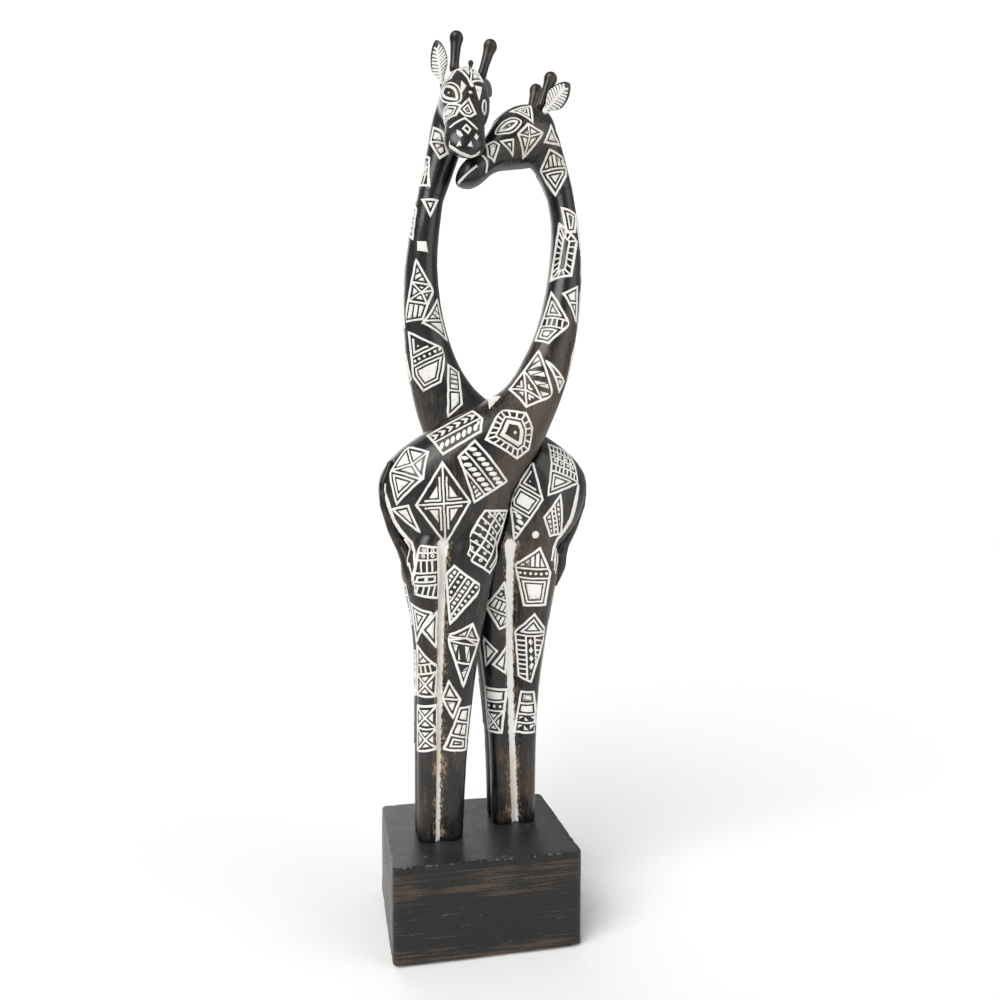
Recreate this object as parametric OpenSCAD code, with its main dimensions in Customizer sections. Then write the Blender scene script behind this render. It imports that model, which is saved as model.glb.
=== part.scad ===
// Two carved giraffes on a block, with their necks crossed and their heads together.
// The front giraffe faces +X and the rear one faces -X. Z is up, Y runs away from the viewer,
// and the origin is the centre of the felt's underside.

/* [Base] */
// Width of the base block, along X
base_w = 102; // [86:1:140]
// Depth of the base block, along Y
base_d = 88; // [74:1:130]
// Height of the base block
base_h = 51; // [39:1:70]
// Radius of the block's rounded upright corners
base_corner_r = 3.5; // [1:0.5:8]
// Thickness of the felt liner under the block
felt_t = 1; // [0.6:0.1:3]
// How far the felt stops short of the block's edge
felt_inset = 3; // [1:0.5:8]

/* [Figures] */
// Height of the carved figures above the block, to the tip of the tallest horn
figure_h = 453; // [370:1:560]
// Depth of each trunk, front to back
trunk_depth = 50; // [40:1:60]
// Distance between the middle planes of the two figures
figure_gap = 16; // [13:1:20]
// Radius of the tail where it lies on the rump
tail_r = 2.6; // [2:0.1:3.6]

/* [Heads] */
// Length of a horn above the skull
horn_len = 22.5; // [15:0.5:26]
// Radius of a horn's shaft where it leaves the skull
horn_r = 3; // [2.4:0.1:3.6]
// Radius of the knob on top of a horn
horn_knob_r = 4.3; // [3.6:0.1:5.2]
// Length of the small middle horn
middle_horn_len = 5; // [3:0.5:8]
// Radius of the knob of the middle horn
middle_knob_r = 1.7; // [1.3:0.1:2.4]
// Length of an ear's blade
ear_len = 25; // [20:0.5:32]
// Width of an ear's blade
ear_w = 13; // [9:0.5:17]
// Thickness of an ear's blade
ear_t = 3; // [2:0.1:4]
// Radius of the peg on each ear and horn
peg_r = 1.4; // [1:0.1:1.8]
// Depth of the sockets that hold those pegs
peg_depth = 6; // [4:0.5:8]

/* [Fixings] */
// Radius of the dowel between each neck and its head
neck_dowel_r = 2.5; // [2:0.1:3.5]
// Length of that dowel
neck_dowel_len = 18; // [12:1:24]
// Radius of the dowel that pins the two trunks together
flank_dowel_r = 4; // [3:0.5:5]
// Length of that dowel
flank_dowel_len = 22; // [16:1:28]
// Radius of the small dowels between the block and the legs
foot_dowel_r = 2; // [1.5:0.1:2.5]
// Length of those dowels
foot_dowel_len = 22; // [14:1:30]
// Radius of the screws that hold the legs to the block
screw_r = 2; // [1.5:0.1:2.5]
// Length of those screws under the head
screw_len = 50; // [42:1:60]
// Radius of their round heads
screw_head_r = 4; // [3.5:0.1:5]
// Height of their round heads
screw_head_h = 3; // [2:0.1:4]
// Depth of the counterbore over each screw head
counterbore_depth = 14; // [8:1:20]
// Clearance round every glued, pegged or screwed fit
glue_gap = 0.15; // [0.1:0.01:0.3]

/* [Hidden] */

BLACK_BROWN = [0.11, 0.09, 0.07];
CHALK = [0.88, 0.85, 0.78];
BARE_WOOD = [0.72, 0.55, 0.36];
STEEL = [0.62, 0.63, 0.65];
FELT_BLACK = [0.06, 0.06, 0.07];

drawn_h = 453;      // figure height at which the rows below are drawn
drawn_depth = 50;   // trunk depth at which they are drawn
neck_depth = 24;    // rows this deep or less are neck or leg, and keep their depth
middle_y = 4;       // the plane halfway between the two figures
foot_z = felt_t + base_h;
front_y = middle_y - figure_gap / 2;
rear_y = middle_y + figure_gap / 2;
body_sides = 24;
leg_sides = 16;
head_sides = 20;
ear_sides = 12;
exact_fn = 48;
bulge = 0.25;       // how far neighbouring spans of a strand run into each other
cut_slack = 0.5;    // how far a cutting tool runs past the face that it opens

// Each row is one oval cross-section: [x1, z1, x2, z2, y, half-depth]. The two points are the
// ends of the oval in side view, with z above the block's top; y is from the figure's plane.
FRONT_BODY = [
    [-33, 130, -4, 118, 0, 8], [-40.5, 153, 8, 146, 0, 15], [-48.5, 170, 14.5, 165, 0, 21],
    [-54.8, 186, 18, 180, 0, 24.5], [-56, 198, 21, 191, 0, 25], [-52.2, 208, 24, 197, 0, 25],
    [-44.5, 217, 26, 201, 0, 25], [-33, 225.5, 28.5, 205, 0, 24.5],
    [-19, 233.5, 31, 209, -1, 23.5], [-6, 240, 34.5, 215, -2.5, 21.5],
    [5, 246, 38.5, 223, -4, 18.5], [14, 252, 42, 231, -4.5, 16], [21, 260, 46.5, 241, -4, 14.3],
    [27, 270, 51, 252, -2.5, 13.2], [33, 282, 55.5, 266, -1, 12.3],
    [38.8, 298, 60.2, 288, 1, 11.5], [43.2, 318, 63.2, 314, 3, 10.8],
    [45.8, 338, 63.4, 337, 4.5, 9.8], [46.4, 354, 62, 356.5, 6.5, 9.2],
    [44.4, 368, 59.2, 375, 7.5, 9]
];
FRONT_THROAT = [
    [44.4, 368, 59.2, 375, 7.5, 9], [41.2, 376.5, 56, 387, 7.5, 9.5],
    [36.5, 384, 52.4, 399, 7.5, 10.6], [30, 391, 48.5, 409.5, 7.5, 11.2],
    [25, 398, 41, 412, 7.5, 9]
];
FRONT_HIND_LEG = [
    [-33, 175, -20, 171, 11, 9], [-42.6, 156, -20, 153, 10.5, 12.5], [-40.6, 139, -21, 139, 9, 11.2],
    [-37.4, 122, -21.4, 122, 8, 9.6], [-35.2, 100, -21.6, 100, 7.4, 8.2],
    [-34.8, 50, -21.6, 50, 7, 7.2], [-34.8, 0, -21.6, 0, 6.6, 6.8]
];
FRONT_FORE_LEG = [
    [-18, 181, 8, 173, 10, 12], [-23, 161, 10, 157, 10, 14], [-22.8, 141, 6, 139, 9.5, 13.5],
    [-22.8, 121, 3, 121, 8.6, 11.5], [-22.8, 100, -0.5, 100, 8, 9.6], [-22.8, 72, -4, 72, 7.4, 8.2],
    [-22.8, 40, -7, 40, 7, 7.3], [-22.8, 0, -8.8, 0, 6.6, 6.8]
];
FRONT_LEG_CORE = [
    [-30, 152, -12, 152, 0, 10], [-31, 100, -12, 100, 0, 9.4], [-31, 0, -13.4, 0, 0, 8.6]
];
REAR_BODY = [
    [10, 121, 40, 127, 0, 8], [4, 149, 48.5, 147, 0, 15], [0, 166, 58.5, 163, 0, 21],
    [-4, 181, 68, 180, 0, 24.5], [-7, 191, 71, 194, 0, 25], [-9, 197, 69.4, 205, 0, 25],
    [-11.5, 201, 61.6, 215.5, 0, 25], [-14.5, 205, 49, 225, 0, 24.5],
    [-18, 209, 35, 233.5, 1, 23.5], [-22, 215, 22, 240, 2.5, 21.5],
    [-26, 223, 12, 247.5, 4, 18.5], [-29.5, 232, 3, 255, 4.5, 16], [-33, 243, -4, 264, 4, 14.3],
    [-36.2, 257, -9.6, 274, 2.5, 13.2], [-39.2, 275, -14.5, 287, 0.5, 12.3],
    [-40.6, 298, -18.8, 303, -3, 11.3], [-40, 323, -21.2, 324, -6, 10.4],
    [-37.2, 344, -20.6, 342, -9, 9.8], [-33, 365, -18.6, 360, -11, 9.2]
];
REAR_THROAT = [
    [-33, 365, -18.6, 360, -11, 9.2], [-30, 379, -14, 373, -12, 9.5],
    [-27.5, 393, -9.5, 386, -13, 10], [-25, 407, -3, 401, -14, 11], [-20.5, 420, 1, 417, -16, 11]
];
REAR_HIND_LEG = [
    [27, 171, 48, 175, 11, 10], [22.5, 151, 51, 153, 10.5, 13], [23, 133, 47.4, 133, 9.5, 12],
    [23.5, 113, 44, 113, 8.6, 10.2], [24.4, 90, 40.6, 90, 7.8, 8.8], [25, 62, 38, 62, 7.2, 7.6],
    [24.8, 30, 37.2, 30, 7, 7.1], [24.2, 0, 37, 0, 6.6, 6.8]
];
REAR_FORE_LEG = [
    [0, 173, 22, 177, 10, 12], [0, 153, 25, 155, 10, 13.5], [1, 127, 24.6, 127, 9, 12],
    [3, 103, 24.8, 103, 8, 9.8], [6.2, 78, 25.4, 78, 7.4, 8.4], [9.2, 46, 25.8, 46, 7, 7.3],
    [10.6, 0, 25.4, 0, 6.6, 6.8]
];
REAR_LEG_CORE = [
    [14, 152, 34, 152, 0, 10], [15, 100, 34, 100, 0, 9.4], [16, 0, 33, 0, 0, 8.6]
];

// A head is drawn in its own frame: x forward to the muzzle, z up through the brow, y to its left.
HEAD = [
    [-10, 4, -6, -4, 0, 5], [-9, 11, -2, -13, 0, 10], [-3, 16.5, 6, -15.5, 0, 13.2],
    [7, 20.3, 15, -14, 0, 14.4], [18, 20.3, 23, -10.5, 0, 14.2], [28, 17.6, 30, -7, 0, 12.4],
    [37, 14.8, 37.5, -3.6, 0, 11], [45, 13, 45, -2.6, 0, 11], [54, 12.2, 53, -3.2, 0, 11.4],
    [60, 10.4, 58.6, -2.2, 0, 10], [64.4, 7.4, 63, 0.8, 0, 6], [66, 5, 65.6, 3.6, 0, 2]
];
FRONT_HEAD_AT = [39, 7.5, 407];
FRONT_HEAD_TURN = [5, 41, 196];
REAR_HEAD_AT = [-7, -12, 421];
REAR_HEAD_TURN = [-7, 54, -99];

// Ears and horns are placed in the head's frame: [place, turn].
FRONT_NEAR_EAR = [[-3.8, 10.5, 6.4], [0, -81, -6]];
FRONT_FAR_EAR = [[-3.8, -10.5, 6.4], [0, -71, 12]];
FRONT_NEAR_HORN = [[-6, 7.5, 10], [-6, -60, 0]];
FRONT_FAR_HORN = [[-7.5, -7, 11.5], [4, -58, 0]];
REAR_LEFT_EAR = [[-5, -12.8, 4.3], [12, -56, 0]];
REAR_RIGHT_EAR = [[-5, 10.5, 3], [0, -104, -14]];
REAR_LEFT_HORN = [[-5, -6.8, 12.5], [0, -54, 0]];
REAR_RIGHT_HORN = [[-4.5, 9, 11.5], [-12, -54, 0]];
REAR_MIDDLE_HORN = [[1, 1.8, 17.5], [0, -54, 0]];
FRONT_EAR_TWIST = 8;
REAR_EAR_TWIST = 46;

// A tail is a run of beads: [x, y, z, radius as a share of tail_r].
FRONT_TAIL = [
    [-49.5, -6, 209, 0.8], [-53, -6, 198, 1.1], [-52.4, -6, 186, 1.2], [-48.4, -6.5, 173, 1.2],
    [-43.4, -8, 163, 1.35], [-40, -10, 156, 1.75], [-38.4, -11.5, 149, 1.9],
    [-37.6, -12.5, 143, 1.3], [-37.6, -13, 138, 0.6]
];
REAR_TAIL = [
    [62.5, -6, 209, 0.8], [66.6, -6, 198, 1.1], [65.6, -6, 186, 1.2], [60.6, -7, 173, 1.2],
    [54.4, -8.5, 163, 1.4], [51.4, -9.5, 156, 1.8], [50.4, -10, 150, 1.9],
    [49.4, -10, 144, 1.2], [48.6, -10, 139, 0.6]
];

FRONT_FEET = [-22.2, front_y];
REAR_FEET = [24.6, rear_y];
foot_spread = 6.8;  // from a figure's middle to the centre of each foot, along X and Y
flank_x = 6;
flank_z = 196;

// ---- Rows, rings and strands ----

stretch = figure_h / drawn_h;
function rise(z) = z * (stretch - 1);
function row_z(row) = (row[1] + row[3]) / 2;
function deeper(half) =
    half + (trunk_depth - drawn_depth) / 2
    * max(0, min(1, (2 * half - neck_depth) / (drawn_depth - neck_depth)));
function tall(rows) = [
    for (row = rows) let (up = rise(row_z(row)))
        [row[0], row[1] + up, row[2], row[3] + up, row[4], deeper(row[5])]
];
function sided(rows, side) = [
    for (row = rows) [row[0], row[1], row[2], row[3], row[4] * side, row[5]]
];
function curve(a, b, c, d, t) =
    b + (c - a) * t / 2 + (a - 2.5 * b + 2 * c - d / 2) * t ^ 2
    + (1.5 * b - a / 2 - 1.5 * c + d / 2) * t ^ 3;
function smooth(rows, steps) = [
    for (i = [0:len(rows) - 2]) for (j = [0:steps - 1])
        curve(rows[max(i - 1, 0)], rows[i], rows[i + 1], rows[min(i + 2, len(rows) - 1)], j / steps),
    rows[len(rows) - 1]
];
function ring(row, sides, grow) =
    let (across = [row[2] - row[0], 0, row[3] - row[1]],
         half = norm(across) / 2,
         middle = [(row[0] + row[2]) / 2, row[4], row_z(row)])
    [for (i = [0:sides - 1])
        middle + across / (2 * half) * (half + grow) * cos(360 * i / sides)
        + [0, (row[5] + grow) * sin(360 * i / sides), 0]];

function middle(points) = [for (i = points) 1 / len(points)] * points;

// The convex solid between two rings. Each end bulges by its overlap, so that neighbouring
// spans of a strand run into each other, and an end with no overlap is flat.
module span(low, high, low_overlap, high_overlap) {
    sides = len(low);
    along = (middle(high) - middle(low)) / norm(middle(high) - middle(low));
    hull()
        polyhedron(
            points = concat(low, high,
                [middle(low) - along * low_overlap, middle(high) + along * high_overlap]),
            faces = [for (i = [0:sides - 1]) let (next = (i + 1) % sides) each [
                [i, i + sides, next + sides, next],
                [next, 2 * sides, i],
                [i + sides, 2 * sides + 1, next + sides]
            ]]
        );
}

module strand(rows, sides, steps, grow = 0) {
    rings = [for (row = smooth(rows, steps)) ring(row, sides, grow)];
    last = len(rings) - 1;
    for (i = [1:last])
        span(rings[i - 1], rings[i], i == 1 ? 0 : bulge, i == last ? 0 : bulge);
}

// ---- Figures ----

module leg_pair(rows, grow) {
    for (side = [-1, 1])
        strand(sided(tall(rows), side), leg_sides, 2, grow);
}

module front_figure(grow = 0) {
    translate([0, front_y, foot_z]) {
        strand(tall(FRONT_BODY), body_sides, 2, grow);
        leg_pair(FRONT_HIND_LEG, grow);
        leg_pair(FRONT_FORE_LEG, grow);
        strand(tall(FRONT_LEG_CORE), leg_sides, 1, grow);
    }
}

module rear_figure(grow = 0) {
    translate([0, rear_y, foot_z]) {
        strand(tall(REAR_BODY), body_sides, 2, grow);
        leg_pair(REAR_HIND_LEG, grow);
        leg_pair(REAR_FORE_LEG, grow);
        strand(tall(REAR_LEG_CORE), leg_sides, 1, grow);
    }
}

module tail(beads, plane_y, grow = 0) {
    translate([0, plane_y, foot_z])
        for (i = [0:len(beads) - 2])
            hull()
                for (bead = [beads[i], beads[i + 1]])
                    translate([bead[0], bead[1], bead[2] + rise(bead[2])])
                        sphere(r = bead[3] * tail_r + grow, $fn = 10);
}

// ---- Heads ----

front_top = FRONT_BODY[len(FRONT_BODY) - 1];
rear_top = REAR_BODY[len(REAR_BODY) - 1];

// Moves its children from a figure's drawn head place to the top of its real neck.
module at_neck_top(top_row, plane_y) {
    translate([0, plane_y, foot_z + rise(row_z(top_row))])
        children();
}

module in_front_head() {
    at_neck_top(front_top, front_y)
        translate(FRONT_HEAD_AT) rotate(FRONT_HEAD_TURN) children();
}

module in_rear_head() {
    at_neck_top(rear_top, rear_y)
        translate(REAR_HEAD_AT) rotate(REAR_HEAD_TURN) children();
}

// Puts its children at the centre of a neck joint, with z along the neck.
module at_joint(top_row, plane_y) {
    lean = atan2(top_row[1] - top_row[3], top_row[2] - top_row[0]);
    at_neck_top(top_row, plane_y)
        translate([(top_row[0] + top_row[2]) / 2, top_row[4], row_z(top_row)])
            rotate([0, lean, 0])
                children();
}

// Everything under a neck joint, up to the glue line.
module below_joint(top_row, plane_y) {
    reach = 34;
    at_joint(top_row, plane_y)
        translate([-reach / 2, -reach / 2, glue_gap - reach])
            cube(reach);
}

module front_skull(grow = 0) {
    in_front_head() strand(HEAD, head_sides, 2, grow);
    at_neck_top(front_top, front_y) strand(FRONT_THROAT, head_sides, 2, grow);
}

module rear_skull() {
    in_rear_head() strand(HEAD, head_sides, 2);
    at_neck_top(rear_top, rear_y) strand(REAR_THROAT, head_sides, 2);
}

module peg(extra) {
    translate([0, 0, -peg_depth - extra])
        cylinder(h = peg_depth + extra + 2, r = peg_r + extra, $fn = ear_sides * 2);
}

module ear(at, twist, grow = 0) {
    stem = ear_w * 0.28;
    translate(at[0]) rotate(at[1]) rotate([0, 0, twist]) {
        strand([
            [-stem / 2, 0, stem / 2, 0, 0, ear_t / 2],
            [-stem * 0.6, ear_len * 0.14, stem * 0.6, ear_len * 0.14, 0, ear_t * 0.5],
            [-ear_w * 0.42, ear_len * 0.3, ear_w * 0.42, ear_len * 0.3, 0, ear_t * 0.5],
            [-ear_w * 0.5, ear_len * 0.5, ear_w * 0.5, ear_len * 0.5, 0, ear_t * 0.48],
            [-ear_w * 0.41, ear_len * 0.74, ear_w * 0.41, ear_len * 0.74, 0, ear_t * 0.42],
            [-ear_w * 0.23, ear_len * 0.92, ear_w * 0.23, ear_len * 0.92, 0, ear_t * 0.34],
            [-ear_w * 0.05, ear_len, ear_w * 0.05, ear_len, 0, ear_t * 0.2]
        ], ear_sides, 2, grow);
        peg(grow);
    }
}

module horn(at, length, foot_r, knob_r, grow = 0) {
    knob_z = length - knob_r;
    shoulder = 38;  // degrees below the knob's middle where the shaft meets it
    translate(at[0]) rotate(at[1])
        rotate_extrude($fn = exact_fn / 2)
            polygon(concat(
                [[0, -peg_depth - grow], [peg_r + grow, -peg_depth - grow], [peg_r + grow, -1 - grow],
                 [foot_r + grow, -1 - grow], [foot_r * 0.94 + grow, length * 0.3]],
                [for (a = [-shoulder:16:90])
                    [(knob_r + grow) * cos(a), knob_z + (knob_r + grow) * sin(a)]],
                [[0, length + grow]]
            ));
}

module front_horn(at, grow = 0) {
    in_front_head() horn(at, horn_len, horn_r, horn_knob_r, grow);
}

module rear_horn(at, grow = 0) {
    in_rear_head() horn(at, horn_len, horn_r, horn_knob_r, grow);
}

module middle_horn(at, grow = 0) {
    horn(at, middle_horn_len, middle_knob_r * 0.7, middle_knob_r, grow);
}

// ---- Fixings ----

module neck_dowel(top_row, plane_y, grow = 0) {
    at_joint(top_row, plane_y)
        cylinder(h = neck_dowel_len + 2 * grow, r = neck_dowel_r + grow, center = true, $fn = exact_fn);
}

module flank_pin(grow = 0) {
    meet_y = front_y + trunk_depth / 2 - 3;
    translate([flank_x, meet_y, foot_z + flank_z + rise(flank_z)])
        rotate([90, 0, 0])
            cylinder(h = flank_dowel_len + 2 * grow, r = flank_dowel_r + grow, center = true,
                     $fn = exact_fn);
}

// Two small dowels on the diagonal of a figure's feet.
module foot_pins(feet, grow = 0) {
    for (side = [-1, 1])
        translate([feet[0] + side * foot_spread, feet[1] + side * foot_spread, foot_z])
            cylinder(h = foot_dowel_len + 2 * grow, r = foot_dowel_r + grow, center = true,
                     $fn = exact_fn);
}

module screw_shaft(feet, grow = 0) {
    translate([feet[0], feet[1], felt_t + counterbore_depth - cut_slack])
        cylinder(h = screw_len + cut_slack + grow, r = screw_r + grow, $fn = exact_fn);
}

module screw_head(feet) {
    slot_w = 1;
    translate([feet[0], feet[1], felt_t + counterbore_depth - screw_head_h])
        difference() {
            cylinder(h = screw_head_h, r1 = screw_head_r * 0.8, r2 = screw_head_r, $fn = exact_fn);
            translate([-screw_head_r, -slot_w / 2, -cut_slack])
                cube([2 * screw_head_r, slot_w, screw_head_h / 3 + cut_slack]);
        }
}

module counterbore(feet) {
    translate([feet[0], feet[1], felt_t - cut_slack])
        cylinder(h = counterbore_depth + cut_slack, r = screw_head_r + 2 * glue_gap, $fn = exact_fn);
}

// ---- The pieces ----

module rounded_plate(w, d, r, h) {
    linear_extrude(height = h) {
        square([w - 2 * r, d], center = true);
        square([w, d - 2 * r], center = true);
        for (x = [-1, 1])
            for (y = [-1, 1])
                translate([x * (w / 2 - r), y * (d / 2 - r)])
                    circle(r = r, $fn = exact_fn);
    }
}

module base_block() {
    color(BLACK_BROWN)
        difference() {
            translate([0, 0, felt_t]) rounded_plate(base_w, base_d, base_corner_r, base_h);
            for (feet = [FRONT_FEET, REAR_FEET]) {
                foot_pins(feet, glue_gap);
                screw_shaft(feet, glue_gap);
                counterbore(feet);
            }
        }
}

module felt_liner() {
    color(FELT_BLACK)
        rounded_plate(base_w - 2 * felt_inset, base_d - 2 * felt_inset, base_corner_r, felt_t);
}

module front_giraffe_body() {
    color(BLACK_BROWN)
        difference() {
            front_figure();
            tail(FRONT_TAIL, front_y, glue_gap);
            neck_dowel(front_top, front_y, glue_gap);
            flank_pin(glue_gap);
            foot_pins(FRONT_FEET, glue_gap);
            screw_shaft(FRONT_FEET, glue_gap);
        }
}

module rear_giraffe_body() {
    color(BLACK_BROWN)
        difference() {
            rear_figure();
            front_figure(glue_gap);
            tail(REAR_TAIL, rear_y, glue_gap);
            neck_dowel(rear_top, rear_y, glue_gap);
            flank_pin(glue_gap);
            foot_pins(REAR_FEET, glue_gap);
            screw_shaft(REAR_FEET, glue_gap);
        }
}

module front_giraffe_head() {
    color(BLACK_BROWN)
        difference() {
            front_skull();
            below_joint(front_top, front_y);
            neck_dowel(front_top, front_y, glue_gap);
            in_front_head() {
                ear(FRONT_NEAR_EAR, FRONT_EAR_TWIST, glue_gap);
                ear(FRONT_FAR_EAR, -FRONT_EAR_TWIST, glue_gap);
            }
            front_horn(FRONT_NEAR_HORN, glue_gap);
            front_horn(FRONT_FAR_HORN, glue_gap);
        }
}

module rear_giraffe_head() {
    color(BLACK_BROWN)
        difference() {
            rear_skull();
            front_skull(glue_gap);
            below_joint(rear_top, rear_y);
            neck_dowel(rear_top, rear_y, glue_gap);
            in_rear_head() {
                ear(REAR_LEFT_EAR, REAR_EAR_TWIST, glue_gap);
                ear(REAR_RIGHT_EAR, -REAR_EAR_TWIST, glue_gap);
                middle_horn(REAR_MIDDLE_HORN, glue_gap);
            }
            rear_horn(REAR_LEFT_HORN, glue_gap);
            rear_horn(REAR_RIGHT_HORN, glue_gap);
        }
}

module front_giraffe_tail() {
    color(BLACK_BROWN) tail(FRONT_TAIL, front_y);
}

module rear_giraffe_tail() {
    color(BLACK_BROWN) tail(REAR_TAIL, rear_y);
}

module front_giraffe_near_ear() {
    color(CHALK) in_front_head() ear(FRONT_NEAR_EAR, FRONT_EAR_TWIST);
}

module front_giraffe_far_ear() {
    color(CHALK) in_front_head() ear(FRONT_FAR_EAR, -FRONT_EAR_TWIST);
}

module rear_giraffe_left_ear() {
    color(CHALK) in_rear_head() ear(REAR_LEFT_EAR, REAR_EAR_TWIST);
}

module rear_giraffe_right_ear() {
    color(CHALK) in_rear_head() ear(REAR_RIGHT_EAR, -REAR_EAR_TWIST);
}

module front_giraffe_near_horn() {
    color(BLACK_BROWN) front_horn(FRONT_NEAR_HORN);
}

module front_giraffe_far_horn() {
    color(BLACK_BROWN) front_horn(FRONT_FAR_HORN);
}

module rear_giraffe_left_horn() {
    color(BLACK_BROWN) rear_horn(REAR_LEFT_HORN);
}

module rear_giraffe_right_horn() {
    color(BLACK_BROWN) rear_horn(REAR_RIGHT_HORN);
}

module rear_giraffe_middle_horn() {
    color(BLACK_BROWN) in_rear_head() middle_horn(REAR_MIDDLE_HORN);
}

module front_neck_dowel() {
    color(BARE_WOOD) neck_dowel(front_top, front_y);
}

module rear_neck_dowel() {
    color(BARE_WOOD) neck_dowel(rear_top, rear_y);
}

module flank_dowel() {
    color(BARE_WOOD) flank_pin();
}

module front_foot_dowels() {
    color(BARE_WOOD) foot_pins(FRONT_FEET);
}

module rear_foot_dowels() {
    color(BARE_WOOD) foot_pins(REAR_FEET);
}

module front_foot_screw() {
    color(STEEL) {
        screw_shaft(FRONT_FEET);
        screw_head(FRONT_FEET);
    }
}

module rear_foot_screw() {
    color(STEEL) {
        screw_shaft(REAR_FEET);
        screw_head(REAR_FEET);
    }
}

base_block();
felt_liner();
front_giraffe_body();
front_giraffe_head();
front_giraffe_tail();
front_giraffe_near_ear();
front_giraffe_far_ear();
front_giraffe_near_horn();
front_giraffe_far_horn();
rear_giraffe_body();
rear_giraffe_head();
rear_giraffe_tail();
rear_giraffe_left_ear();
rear_giraffe_right_ear();
rear_giraffe_left_horn();
rear_giraffe_right_horn();
rear_giraffe_middle_horn();
front_neck_dowel();
rear_neck_dowel();
flank_dowel();
front_foot_dowels();
rear_foot_dowels();
front_foot_screw();
rear_foot_screw();
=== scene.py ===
"""Builds the looks of two carved and painted giraffes on their block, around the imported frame."""

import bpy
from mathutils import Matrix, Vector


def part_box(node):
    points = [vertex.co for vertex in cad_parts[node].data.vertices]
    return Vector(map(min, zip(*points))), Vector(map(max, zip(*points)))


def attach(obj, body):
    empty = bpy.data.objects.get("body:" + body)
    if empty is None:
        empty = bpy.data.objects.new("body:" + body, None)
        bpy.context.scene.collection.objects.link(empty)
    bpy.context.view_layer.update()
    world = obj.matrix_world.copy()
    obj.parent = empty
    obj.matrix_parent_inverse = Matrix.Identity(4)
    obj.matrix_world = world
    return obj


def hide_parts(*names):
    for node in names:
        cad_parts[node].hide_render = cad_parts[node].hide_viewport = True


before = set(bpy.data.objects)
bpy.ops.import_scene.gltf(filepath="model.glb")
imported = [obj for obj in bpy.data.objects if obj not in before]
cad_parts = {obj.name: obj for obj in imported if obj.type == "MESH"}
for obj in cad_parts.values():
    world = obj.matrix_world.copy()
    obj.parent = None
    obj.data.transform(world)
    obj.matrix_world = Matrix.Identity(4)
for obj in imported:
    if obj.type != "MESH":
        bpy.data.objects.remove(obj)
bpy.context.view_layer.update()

import math
import random

import bmesh
import bpy
from bpy.props import FloatProperty, FloatVectorProperty, PointerProperty
from mathutils import Matrix, Vector, noise
from mathutils.bvhtree import BVHTree

bl_info = {
    "name": "Carved Giraffes",
    "version": (1, 0, 0),
    "blender": (4, 5, 0),
    "location": "View3D > Sidebar > Giraffes",
    "description": "Builds a pair of carved and painted giraffes standing on a block",
    "category": "Object",
}

MM = 0.001
BODY = "root"
BLOCK_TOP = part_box("base_block")[1].z / MM


# ---- Settings ----


def colour(name, description, default):
    return FloatVectorProperty(
        name=name, description=description, default=default, subtype="COLOR", size=3, min=0, max=1
    )


def length(name, description, default):
    return FloatProperty(
        name=name, description=description, default=default, unit="LENGTH", subtype="DISTANCE", min=0
    )


class GiraffeWood(bpy.types.PropertyGroup):
    """Colours and cell sizes of the carved skins."""

    black: colour("Black", "Stain over most of the carving", (0.0060, 0.0062, 0.0064))
    brown: colour("Brown", "Wood that shows where the stain is rubbed", (0.066, 0.040, 0.024))
    tan: colour("Tan", "Bare specks beside the grooves", (0.34, 0.235, 0.14))
    body_cell: length("Body Cell", "Size of the cells of a body's skin", 0.95 * MM)
    head_cell: length("Head Cell", "Size of the cells of a head's skin", 0.55 * MM)


class GiraffePaint(bpy.types.PropertyGroup):
    """The raised pale paint."""

    chalk: colour("Chalk", "Colour of the raised paint", (0.78, 0.765, 0.73))
    cream: colour("Cream", "Colour of the paint where it has yellowed", (0.60, 0.53, 0.42))
    outline_w: length("Outline Width", "Width of a patch's outline", 1.3 * MM)
    stroke_w: length("Stroke Width", "Width of the strokes inside a patch", 1.0 * MM)
    gap_w: length("Gap Width", "Dark gap between one stroke and the next", 1.05 * MM)
    relief: length("Relief", "How far the paint stands off the wood", 0.42 * MM)


class GiraffeBlock(bpy.types.PropertyGroup):
    """The block under the figures."""

    black: colour("Black", "Stain of the block", (0.0115, 0.0118, 0.0115))
    brown: colour("Brown", "Brush streaks along the block", (0.060, 0.040, 0.028))
    corner_r: length("Corner Radius", "Radius of the upright corners", 3.5 * MM)
    edge_r: length("Edge Radius", "Radius worn on the top and bottom edges", 1.1 * MM)


class GiraffeStage(bpy.types.PropertyGroup):
    """The floor and the light."""

    floor: colour("Floor", "Colour of the plain floor", (0.97, 0.97, 0.968))
    key: FloatProperty(name="Key Light", description="Strength of the key light", default=2.6, min=0)
    fill: FloatProperty(name="Fill Light", description="Strength of the fill light", default=0.9, min=0)


class GiraffeSettings(bpy.types.PropertyGroup):
    """Everything a user may change."""

    wood: PointerProperty(type=GiraffeWood)
    paint: PointerProperty(type=GiraffePaint)
    block: PointerProperty(type=GiraffeBlock)
    stage: PointerProperty(type=GiraffeStage)


# ---- Materials ----


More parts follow.
